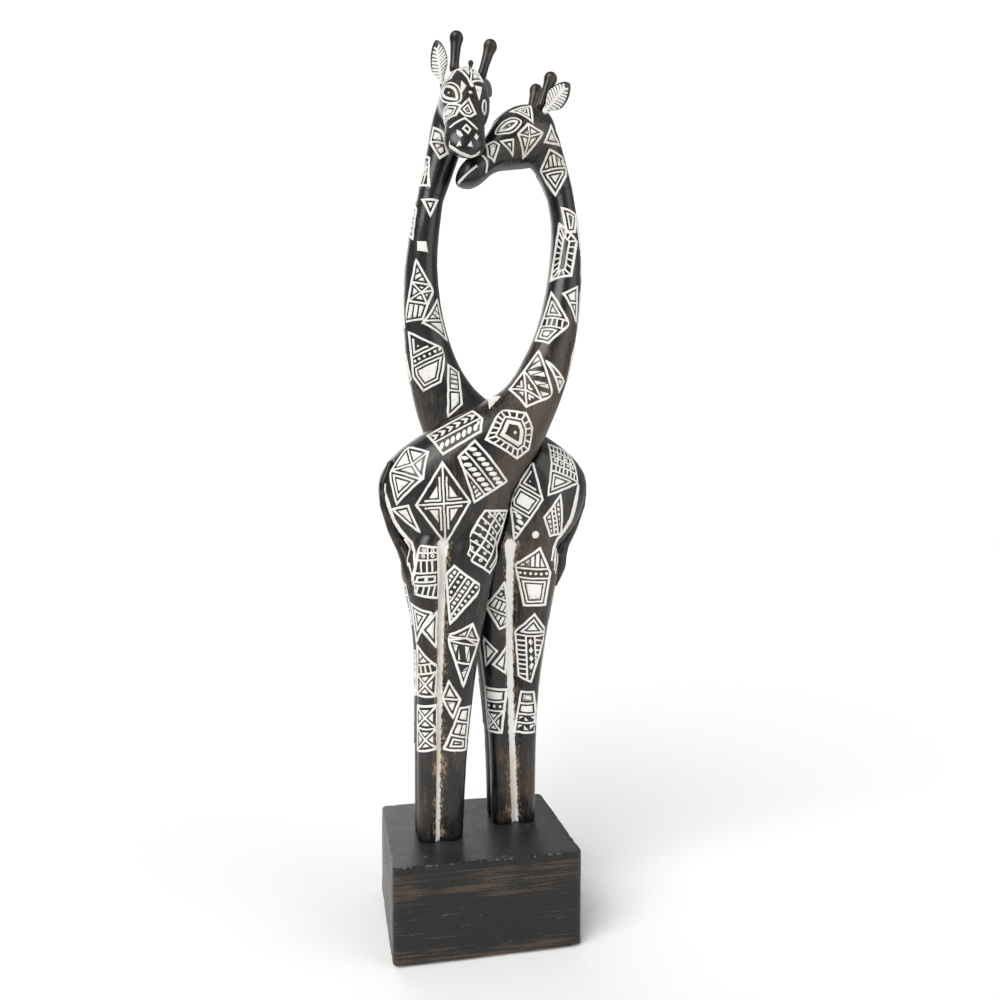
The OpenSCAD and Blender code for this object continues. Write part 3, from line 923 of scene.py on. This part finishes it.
# What draws a whole shape, with no outline of its own round it.


def filled(brush, outline):
    """A solid shape."""
    brush.fill(outline)


def spot(brush, outline):
    """A round dot, as wide as its one corner is far out."""
    brush.dot(Vector((0, 0)), outline[0].length)


def loop(brush, outline):
    """A rounded closed line."""
    brush.line(rounded(outline), True)


def almond(brush, outline):
    """An eye: a rounded line round a white ring with a dark pupil."""
    outer = rounded(turned(outline))
    brush.line(outer, True)
    white = shrunk(outer, brush.gap + brush.thin / 2 + 0.75)
    if white:
        brush.line(white, True, 1.5)
        brush.dot(middle(white), 0.6)


def stroke(brush, points):
    """A single open line, a little heavier."""
    brush.line(points, width=1.3)


WHOLE = (filled, spot, loop, almond, stroke)


def patch(brush, side, across, height, pattern, *corners):
    """One outlined patch on the skin with its pattern, or one whole shape."""
    brush.place(side, across, height)
    outline = [Vector(corner) for corner in corners]
    if pattern in WHOLE:
        pattern(brush, outline)
    else:
        outline = turned(outline)
        brush.line(outline, True, brush.wide)
        inside = shrunk(outline, brush.wide / 2)
        if inside:
            pattern(brush, inside)
    brush.lift()


def blade(brush, node, size, width, lean, pitch=1.95):
    """An ear's white blade: a midrib that leans, and side veins out to the rim."""
    low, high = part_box(node)
    brush.place("near", (low.x + high.x) / 2 / MM, (low.z + high.z) / 2 / MM)
    along, out = unit(lean), unit(lean + 90)
    brush.line([along * size * (k / 8 - 0.5) * 0.96 for k in range(9)], width=1.4)
    count = round(size / pitch)
    for k in range(count):
        t = (k + 0.5) / count - 0.5
        half = width / 2 * math.sqrt(max(0, 1 - (2 * t) ** 2)) * (1.1 - 0.35 * t)
        for way in (1, -1):
            root = along * size * (t - 0.06)
            tip = along * (size * t + 1.6) + out * way * half
            brush.line([root, tip], width=1.25)
    brush.lift()


# Each row is (pattern, (x, z), corners): where its middle lies seen from the near side, and its
# corners round that point along the skin, in millimetres.
FRONT_PATCHES = [
    (bands(75, nested, spokes), (-43, 256), (-2, 16), (12, 12), (11, -3), (-4, -17), (-9, 0)),
    (nested, (-42, 232), (-8, 4), (2, 6), (7, -9)),
    (quarters, (-22, 239), (-1, 22), (14, 1), (1, -22), (-15, -1)),
    (bands(42, bars, leaves, leaves, shares=[0.9, 1, 1.1]), (-2, 257),
     (-3, 16), (17, -6), (-3, -17), (-12, 7)),
    (bands(125, leaves, arrows), (-12, 280), (-19, -3), (4, 14), (11, 7), (11, -1), (-8, -16)),
    (framed, (18, 278), (-8, 13), (6, 11), (10, 3), (9, -9), (2, -14), (-17, -4)),
    (bands(-36, dice, angles, shares=[2.4, 1]), (4, 218),
     (-3, 17), (16, 17), (8, -10), (0, -17), (-18, -6)),
    (filled, (7, 297), (-6, 5), (4, 3), (2, -8)),
    (bands(28, quarters, teeth), (29, 306), (4, 21), (12, -5), (-4, -14), (-13, -2)),
    (bands(90, bars, solid), (45, 311), (-7, 9), (5, -2), (1, -8)),
    (bands(82, nested, ladder, nested, shares=[1.1, 0.6, 1.6]), (42, 342),
     (-1, 20), (10, 1), (-1, -12), (-9, -9)),
    (bands(95, solid, solid), (56, 356), (3, 9), (-6, 4), (2, -12)),
    (framed, (51, 384), (-3, 19), (7, 9), (4, -13), (-8, -15)),
    (nested, (55, 405), (-4, 7), (5, 4), (3, -7), (-2, -8)),
    (bands(100, nested, bars, shares=[1.3, 1]), (46, 434),
     (-3, 11), (8, 6), (7, -3), (1, -14), (-8, -1)),
    (nested, (44, 452), (-1, 6), (6, -3), (-5, -4)),
    (bands(92, ladder, eye, ladder, dice), (-31, 202), (-4, 14), (6, 13), (7, -15), (-9, -12)),
    (nested, (-34.5, 175), (-5, 9), (7, 4), (-4, -13)),
    (nested, (-28, 170), (3, 10), (-5, 0), (3, -10)),
    (bands(100, spokes, ladder, bars, shares=[2, 0.8, 1.5]), (-31, 144),
     (-5, 17), (6, 5), (5, -11), (-6, -11)),
    (bands(90, spokes, spokes), (-31, 115), (-6, 12), (6, 13), (6, -11), (-6, -13)),
    (bands(-35, bars, dots, bars, dots), (-14, 193), (-2, 12), (13, 0), (-5, -20), (-7, 7)),
    (bands(78, teeth, teeth, spokes), (-9, 160), (3, 13), (8, 3), (-1, -22), (-10, 6)),
    (bands(90, solid, solid), (-17, 131), (-1, 10), (5, 0), (1, -10), (-5, 0)),
    (bands(75, nested, bars, solid), (-12, 114), (6, 12), (0, 12), (-8, -11), (4, -12)),
]
REAR_PATCHES = [
    (bands(60, leaves, nested, angles), (27, 241), (4, 22), (10, 0), (-6, -23), (-9, 1)),
    (bands(70, nested, ladder, dice, ladder, shares=[1.6, 0.5, 1, 0.6]), (51, 260),
     (-6, 15), (10, 11), (10, -9), (-12, -16)),
    (bands(15, bars, ladder, bars, shares=[1, 0.5, 1]), (45, 229), (3, 15), (-7, 2), (-2, -9), (6, -8)),
    (bands(65, bars, bars, dots), (13, 178), (2, 16), (7, -8), (0, -11), (-8, 2)),
    (nested, (8, 154), (-4, 8), (4, 0), (-3, -9)),
    (nested, (15, 148), (3, 9), (2, -7), (-5, -2)),
    (bands(90, spokes, dots, solid, shares=[1.5, 0.7, 0.9]), (11, 119),
     (-6, 13), (7, 12), (4, -13), (-6, -13)),
    (bands(88, nested, dots, bars, shares=[1.7, 0.6, 1.2]), (33, 195),
     (3, 18), (9, 4), (6, -15), (-6, -15), (-11, 8)),
    (bands(88, bands(2, ladder, gems, ladder), nested, shares=[2.2, 1]), (31, 155),
     (3, 20), (10, 9), (1, -20), (-6, -17), (-8, 9)),
    (bands(90, teeth, teeth, bands(90, solid, solid), shares=[0.8, 0.8, 2]), (30, 116),
     (-3, 13), (4, 13), (7, -11), (-7, -11)),
    (nested, (-27, 407), (-4, 3), (4, 3), (0, -6)),
    (filled, (-31, 384), (-3, 3), (2, 3), (3, -3), (-3, -2)),
    (bands(80, bars, spokes, bars), (-33, 356), (-1, 21), (8, 4), (2, -12), (-9, -13)),
    (bands(100, nested, bars), (-22, 344), (0, 12), (-8, -2), (8, -10)),
    (bands(115, nested, dots, angles, shares=[1.6, 0.5, 1.4]), (-28, 318),
     (-10, 19), (11, 9), (8, -9), (-2, -14), (-8, -6)),
    (bands(90, solid, bars), (-12, 306), (-3, 13), (4, 10), (4, -10), (-4, -17)),
    (bands(95, ladder, dice, solid), (-30, 428), (-5, 11), (4, 6), (5, -10), (-4, -8)),
    (bands(80, bars, nested), (-36, 400), (-3, 11), (3, 6), (2, -11), (-3, -7)),
    (bands(75, bars, nested), (-23, 442), (-3, 9), (3, 5), (5, -6), (1, -9), (-5, 1)),
    (spot, (33.5, 221), (2.2, 0)),
]
FRONT_FACE = [
    (nested, (26, 463), (-7, 1), (5, 7), (5, -6), (-2, -2)),
    (filled, (14, 463), (-4, -5), (0, 3), (3, 5), (0, -2)),
    (spokes, (29, 448), (-1, 7), (9, 4), (-1, -11), (-7, 0)),
    (nested, (17, 442), (-5, 1), (2, 3), (3, -5)),
    (nested, (7, 438), (-3, 3), (1, 5), (4, 3), (1, -6), (-3, -5)),
    (almond, (17, 453),
     (-9, -5.5), (-5, 2), (-0.5, 5), (3.5, 5.5), (7.5, 3.5), (5.5, -0.5), (1.5, -4.5), (-3.5, -5.5)),
    (stroke, (-8, 422), (-6, -4), (0, 0), (6, 4)),
    (stroke, (3, 429), (-2, 4), (0.5, 1), (1.5, -4.5)),
]
REAR_FACE = [
    (spokes, (-6, 476), (-6, 5), (3, 11), (6, -4), (-3, -10)),
    (filled, (-12, 464), (-1, 5), (2, 1), (-1, -5)),
    (filled, (-3, 463), (-2, 3), (3, 4), (-1, -6)),
    (nested, (-10, 449), (1, 8), (4, -1), (1, -4), (-2, -4), (-5, 1)),
    (nested, (-20, 449), (-7, -2), (-6, 4), (-1, 6), (6, 4), (6, -3), (0, -5)),
    (nested, (-18, 475), (-2, 2), (3, 5), (4, -3), (-5, -4)),
    (almond, (-19, 462),
     (-8.5, 3), (-6.5, 8), (-1, 7.5), (5.5, 3), (8.5, -4), (7.5, -8.5), (0.5, -6.5), (-6, -1.5)),
    (loop, (0, 455), (1.5, 6), (3, 1.5), (-1, -5.5), (-3, -1.5)),
    (spot, (-7, 466), (1.25, 0)),
    (spot, (-8, 461), (1.1, 0)),
    (eye, (-12, 436), (0, 3), (2, 0), (0.5, -3), (-2, 0)),
    (filled, (-16, 433), (-1.5, 2.5), (0.5, 1.5), (2, -1.5), (0.5, -2.5), (-1.5, 0)),
    (filled, (-7, 432), (-1.5, -0.5), (0, 2), (1.5, 0.5), (0, -2)),
    (filled, (-16, 427), (-2, -1), (0, 2), (1, -1)),
    (filled, (-10, 427), (-2, -1), (0, 2), (1, -1)),
    (stroke, (-13, 440), (-7.5, -1.5), (0.5, 4), (7, -2.5)),
    (stroke, (-13, 424), (-12, 5), (-8, 1.5), (-2.5, -1.5), (3.5, -3), (8.5, -1.5), (10.5, -1)),
]

# The white bands down the rumps, and the brush strokes of the tails: points in space and widths.
FRONT_BANDS = [
    ([(-53, -12, 250), (-51.5, -15, 239), (-49, -15, 230), (-45, -16, 224), (-40, -17, 219),
      (-37, -22, 213), (-37, -24, 205), (-38, -24, 199)], [2.6, 3.4, 3.2, 2.8, 2.4, 1.8, 1.3, 0.8]),
    ([(-43, -16, 219), (-42, -19, 212), (-42, -20, 204)], [1.6, 1.2, 0.7]),
    ([(-40, -21, 207), (-39, -23, 200), (-38, -24, 195)], [1.2, 1.0, 0.6]),
]
REAR_BANDS = [
    ([(61, -4, 250), (59, -6, 239), (56, -5, 229), (50, -5, 220), (45, -8, 213), (43, -10, 205)],
     [2.2, 3.2, 3.0, 2.4, 1.8, 1.0]),
    ([(47, -7, 213), (46, -9, 206), (46, -9, 199)], [1.5, 1.2, 0.7]),
    ([(49, -6, 210), (48, -8, 203), (47, -8, 197)], [1.2, 1.0, 0.6]),
]


# Patches on the front giraffe's neck seen from the right, and on its hind legs seen from the left:
# (pattern, (y, z), corners). The rear giraffe has the same ones, turned half round.
SIDE_PATCHES = [
    (bands(90, nested, bars), (-7, 320), (-1, 13), (4, 5), (4, -9), (-4, -10), (-4, 4)),
    (bands(80, spokes, nested), (-4, 350), (-3, 12), (4, 9), (4, -9), (-4, -11)),
    (nested, (-2, 375), (-1, 9), (5, 2), (1, -8), (-4, -1)),
    (bands(90, bars, spokes), (-1, 398), (-4, 10), (4, 11), (4, -9), (-4, -9)),
]
LEG_PATCHES = [
    (bands(90, nested, dots, bars), (4, 182), (-3, 14), (4, 10), (4, -12), (-4, -11)),
    (bands(90, spokes, bars), (4, 142), (-4, 12), (4, 13), (4, -12), (-4, -11)),
]

# One giraffe is nearly the other turned half round: the x of a spot on one and of its match on the
# other add up to TURNED_X, and their y to TURNED_Y.
TURNED_X = 15
TURNED_Y = 8


def drawn(brush, rows, side="near", flip=False, over=0):
    """Draws rows of patches: as they are, mirrored, or carried over to the other giraffe."""
    for pattern, (x, z), *corners in rows:
        shape = [(-u, v) for u, v in corners] if flip else corners
        patch(brush, side, over - x if over else x, z, pattern, *shape)


def on_trunk(row):
    """Whether a row's patch lies on the trunk."""
    return 205 < row[1][1] < 290


# ---- The pieces ----


# The carved surfaces that the brush draws on, by figure or by node.
SKINS = {}

# Painted grooves down the legs, seen from the near side: (x, z, half-width) down each line.
FRONT_GROOVES = [
    [(-22, 217, 3.2), (-22, 209, 1.9), (-22.2, 190, 1.7), (-23.2, 100, 1.2), (-23.7, BLOCK_TOP, 1.2)],
]
REAR_GROOVES = [
    [(19, 215, 3.8), (19, 207, 2.7), (19, 180, 2.6), (21.3, 120, 2.2), (23.9, BLOCK_TOP, 1.9)],
]
GROOVE_DEPTH = 0.9
FAR_FROM_GROOVES = 30.0


def line_gap(x, z, line):
    """How far a point is outside a painted line, seen from the near side."""
    best = FAR_FROM_GROOVES
    for (x1, z1, h1), (x2, z2, h2) in zip(line, line[1:]):
        dx, dz = x2 - x1, z2 - z1
        share = ((x - x1) * dx + (z - z1) * dz) / (dx * dx + dz * dz)
        share = min(1, max(0, share))
        away = math.hypot(x - x1 - dx * share, z - z1 - dz * share)
        best = min(best, away - h1 - (h2 - h1) * share)
    return best


def mark_grooves(bm, lines):
    """Keeps on each vertex how far it is outside the painted grooves."""
    layer = bm.verts.layers.float.new("groove")
    for vert in bm.verts:
        x, z = vert.co.x / MM, vert.co.z / MM
        vert[layer] = min([line_gap(x, z, line) for line in lines] + [FAR_FROM_GROOVES])


def sink_grooves(bm):
    """Carves the painted grooves into the skin, as shallow rounded channels."""
    layer = bm.verts.layers.float["groove"]
    bm.normal_update()
    sinks = {}
    for vert in bm.verts:
        share = min(1, max(0, 0.6 - vert[layer]) / 1.8)
        sinks[vert] = vert.normal * GROOVE_DEPTH * MM * share
    for vert, sink in sinks.items():
        vert.co -= sink


class GIRAFFE_OT_bodies(bpy.types.Operator):
    """Carve the two bodies' skins."""

    bl_idname = "giraffe.bodies"
    bl_label = "Bodies"

    def execute(self, context):
        wood = settings().wood
        for figure, joint, lines in (
            ("front", FRONT_JOINT, FRONT_GROOVES),
            ("rear", REAR_JOINT, REAR_GROOVES),
        ):
            bm = celled(merged(f"{figure}_giraffe_body", f"{figure}_giraffe_head"), wood.body_cell, 7)
            body, _ = joint.split(bm)
            keep_only(bm, body)
            foot = (BLOCK_TOP + 2.5) * MM
            for vert in bm.verts:
                vert.co.z -= max(0, foot - vert.co.z) * 0.6
            mark_grooves(bm, lines)
            sink_grooves(bm)
            SKINS[figure] = [BVHTree.FromBMesh(bm)]
            finish = carved_black(f"{figure}_stain", settings(), 0 if figure == "front" else 7)
            new_piece(f"{figure}_giraffe_skin", bm, finish, "carved_dark", f"{figure}_giraffe_body")
        return {"FINISHED"}


class GIRAFFE_OT_heads(bpy.types.Operator):
    """Carve the two heads' skins."""

    bl_idname = "giraffe.heads"
    bl_label = "Heads"

    def execute(self, context):
        wood = settings().wood
        for figure, joint in (("front", FRONT_JOINT), ("rear", REAR_JOINT)):
            bm = celled(merged(f"{figure}_giraffe_body", f"{figure}_giraffe_head"), wood.head_cell, 12)
            _, head = joint.split(bm)
            keep_only(bm, head)
            mark_grooves(bm, [])
            SKINS[figure].append(BVHTree.FromBMesh(bm))
            finish = carved_black(f"{figure}_head_stain", settings(), 3)
            new_piece(f"{figure}_giraffe_face", bm, finish, "carved_dark", f"{figure}_giraffe_head")
        return {"FINISHED"}


class GIRAFFE_OT_small_carvings(bpy.types.Operator):
    """Round the ears, horns and tails."""

    bl_idname = "giraffe.small_carvings"
    bl_label = "Ears, Horns and Tails"

    def execute(self, context):
        dark = horn_stain("horn_stain", settings())
        ear = carved_black("ear_stain", settings(), 12)
        cell = 0.4 * MM
        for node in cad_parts:
            if node.endswith(("_horn", "_tail")):
                slim = "middle" in node or "tail" in node
                bm = celled(merged(node), cell, 10 if slim else 45)
                new_piece(f"{node}_carving", bm, dark, "carved_dark", node)
            elif node.endswith("_ear"):
                bm = celled(merged(node), cell, 6)
                mark_grooves(bm, [])
                SKINS[node] = [BVHTree.FromBMesh(bm)]
                new_piece(f"{node}_carving", bm, ear, "chalk_paint", node)
        return {"FINISHED"}


class GIRAFFE_OT_patches(bpy.types.Operator):
    """Paint the raised patches on the bodies and the heads."""

    bl_idname = "giraffe.patches"
    bl_label = "Painted Patches"

    def execute(self, context):
        paint = settings().paint
        finish = chalk_paint("chalk_paint", settings())
        for figure, seed, rows, others, face, trails, neck, hind, over, cheek in (
            ("front", 3, FRONT_PATCHES, REAR_PATCHES, FRONT_FACE, FRONT_BANDS,
             "right", "left", 0, {"flip": True}),
            ("rear", 7, REAR_PATCHES, FRONT_PATCHES, REAR_FACE, REAR_BANDS,
             "left", "right", TURNED_Y, {"over": TURNED_X}),
        ):
            brush = Brush(SKINS[figure], seed, paint)
            drawn(brush, rows)
            drawn(brush, [row for row in rows if not on_trunk(row)], "far", flip=True)
            drawn(brush, [row for row in others if on_trunk(row)], "far", over=TURNED_X)
            drawn(brush, SIDE_PATCHES, neck, over=over)
            drawn(brush, LEG_PATCHES, hind, over=over)
            for points, widths in trails:
                brush.trail(points, widths)
            new_piece(f"{figure}_giraffe_patches", brush.all, finish, "chalk_paint")
            brush = Brush(SKINS[figure], seed + 2, paint, 0.85)
            drawn(brush, face)
            drawn(brush, FRONT_FACE[:4], "far", **cheek)
            new_piece(f"{figure}_giraffe_face_patches", brush.all, finish, "chalk_paint")
        for node, size, width, lean in (
            ("rear_giraffe_left_ear", 21, 9.6, 97),
            ("front_giraffe_near_ear", 22, 9.8, 52),
        ):
            brush = Brush(SKINS[node], 11, paint)
            blade(brush, node, size, width, lean)
            new_piece(f"{node}_blade", brush.all, finish, "chalk_paint")
        return {"FINISHED"}


class GIRAFFE_OT_block(bpy.types.Operator):
    """Make the block, with rounded corners and worn edges."""

    bl_idname = "giraffe.block"
    bl_label = "Block"

    def execute(self, context):
        block = settings().block
        low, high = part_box("base_block")
        size = high - low
        bm = bmesh.new()
        bmesh.ops.create_cube(bm, size=1)
        bmesh.ops.scale(bm, vec=size, verts=bm.verts)
        bmesh.ops.translate(bm, vec=(low + high) / 2, verts=bm.verts)
        rise = size.z / 2
        for radius, segments, upright in ((block.corner_r, 6, True), (block.edge_r, 4, False)):
            edges = [e for e in bm.edges if (abs(e.verts[0].co.z - e.verts[1].co.z) > rise) == upright]
            bmesh.ops.bevel(
                bm, geom=edges, offset=radius, affect="EDGES", segments=segments, profile=0.5, material=-1
            )
        grid = 1.5 * MM
        for axis in range(3):
            normal = Vector([1 if k == axis else 0 for k in range(3)])
            for k in range(1, int(size[axis] / grid)):
                everything = bm.verts[:] + bm.edges[:] + bm.faces[:]
                at = low + normal * grid * k
                bmesh.ops.bisect_plane(bm, geom=everything, dist=1e-6, plane_co=at, plane_no=normal)
        layer = bm.verts.layers.float.new("edge")
        centre = (low + high) / 2
        bm.normal_update()
        for vert in bm.verts:
            inside = sorted((size[k] / 2 - abs(vert.co[k] - centre[k])) / MM for k in range(3))
            vert[layer] = inside[0] + inside[1]
        pushes = {}
        for vert in bm.verts:
            wave = noise.noise(vert.co / (26 * MM)) * 0.35 + noise.noise(vert.co / (6 * MM)) * 0.12
            nick = max(0, noise.noise(vert.co / (3.5 * MM) + Vector((9, 4, 2))) - 0.32) * 3.0
            near_edge = max(0, 1 - vert[layer] / 2.2)
            pushes[vert] = vert.normal * (wave - 0.35 - nick * near_edge) * MM * 0.7
        for vert, push in pushes.items():
            vert.co += push
        new_piece("block", bm, block_stain("block_stain", settings()), "base_paint", "base_block")
        return {"FINISHED"}


class GIRAFFE_OT_fixings(bpy.types.Operator):
    """Give the hidden dowels, screws and felt their finishes."""

    bl_idname = "giraffe.fixings"
    bl_label = "Fixings"

    def execute(self, context):
        finishes = {
            "dowel": bare_wood("dowel_wood"),
            "screw": screw_steel("screw_steel"),
            "felt": felt_cloth("felt_cloth"),
        }
        for node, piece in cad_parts.items():
            for key, finish in finishes.items():
                if key in node:
                    piece.data.materials.clear()
                    piece.data.materials.append(finish)
        return {"FINISHED"}


class GIRAFFE_OT_stage(bpy.types.Operator):
    """Set the floor, the soft light and the camera."""

    bl_idname = "giraffe.stage"
    bl_label = "Stage"

    def execute(self, context):
        stage = settings().stage
        bm = bmesh.new()
        bmesh.ops.create_grid(bm, x_segments=1, y_segments=1, size=4)
        mesh = bpy.data.meshes.new("floor")
        bm.to_mesh(mesh)
        bm.free()
        floor = bpy.data.objects.new("floor", mesh)
        context.scene.collection.objects.link(floor)
        finish = Finish("floor_paper")
        mesh.materials.append(finish.finished(tuple(stage.floor), 0.85))
        world = bpy.data.worlds.new("studio")
        world.use_nodes = True
        tree = world.node_tree
        # The room lights the statue softly, and is plain white where the camera sees it.
        path = tree.nodes.new("ShaderNodeLightPath")
        strength = tree.nodes.new("ShaderNodeMapRange")
        strength.inputs["To Min"].default_value = 0.38
        strength.inputs["To Max"].default_value = 1.04
        tree.links.new(path.outputs["Is Camera Ray"], strength.inputs["Value"])
        tree.nodes["Background"].inputs["Color"].default_value = (1, 1, 1, 1)
        tree.links.new(strength.outputs["Result"], tree.nodes["Background"].inputs["Strength"])
        context.scene.world = world
        self.light("key", (-0.75, -0.75, 1.1), 45, stage.key)
        self.light("fill", (0.9, -0.7, 0.6), 50, stage.fill)
        self.light("back", (-0.35, 1.4, 0.7), 50, stage.fill)
        camera = bpy.data.objects.new("camera", bpy.data.cameras.new("camera"))
        camera.data.lens = 28.8
        camera.data.sensor_width = 36
        camera.location = (-0.083, -0.456, 0.241)
        camera.rotation_euler = (math.radians(90), 0, math.radians(-12.1))
        context.scene.collection.objects.link(camera)
        context.scene.camera = camera
        context.scene.view_settings.view_transform = "Standard"
        return {"FINISHED"}

    @staticmethod
    def light(name, place, spread, strength):
        """A broad soft lamp that points at the statue."""
        lamp = bpy.data.lights.new(name, "SUN")
        lamp.angle = math.radians(spread)
        lamp.energy = strength
        holder = bpy.data.objects.new(name, lamp)
        holder.location = place
        aim = Vector((0, 0, 0.25)) - holder.location
        holder.rotation_euler = aim.to_track_quat("-Z", "Y").to_euler()
        bpy.context.scene.collection.objects.link(holder)


STEPS = (
    GIRAFFE_OT_block,
    GIRAFFE_OT_bodies,
    GIRAFFE_OT_heads,
    GIRAFFE_OT_small_carvings,
    GIRAFFE_OT_patches,
    GIRAFFE_OT_fixings,
    GIRAFFE_OT_stage,
)


class GIRAFFE_PT_steps(bpy.types.Panel):
    """The steps that build the carving, and what a user may change."""

    bl_label = "Carved Giraffes"
    bl_idname = "GIRAFFE_PT_steps"
    bl_space_type = "VIEW_3D"
    bl_region_type = "UI"
    bl_category = "Giraffes"

    def draw(self, context):
        for group in ("wood", "paint", "block", "stage"):
            values = getattr(context.scene.giraffes, group)
            for key in values.bl_rna.properties.keys():
                if key not in ("rna_type", "name"):
                    self.layout.prop(values, key)
        for step in STEPS:
            self.layout.operator(step.bl_idname)


GROUPS = (GiraffeWood, GiraffePaint, GiraffeBlock, GiraffeStage, GiraffeSettings)


def register():
    for kind in (*GROUPS, *STEPS, GIRAFFE_PT_steps):
        bpy.utils.register_class(kind)
    bpy.types.Scene.giraffes = PointerProperty(type=GiraffeSettings)


def unregister():
    del bpy.types.Scene.giraffes
    for kind in reversed((*GROUPS, *STEPS, GIRAFFE_PT_steps)):
        bpy.utils.unregister_class(kind)


def main():
    register()
    bpy.ops.giraffe.block()
    bpy.ops.giraffe.bodies()
    bpy.ops.giraffe.heads()
    bpy.ops.giraffe.small_carvings()
    bpy.ops.giraffe.patches()
    bpy.ops.giraffe.fixings()
    bpy.ops.giraffe.stage()


if __name__ == "__main__":
    main()
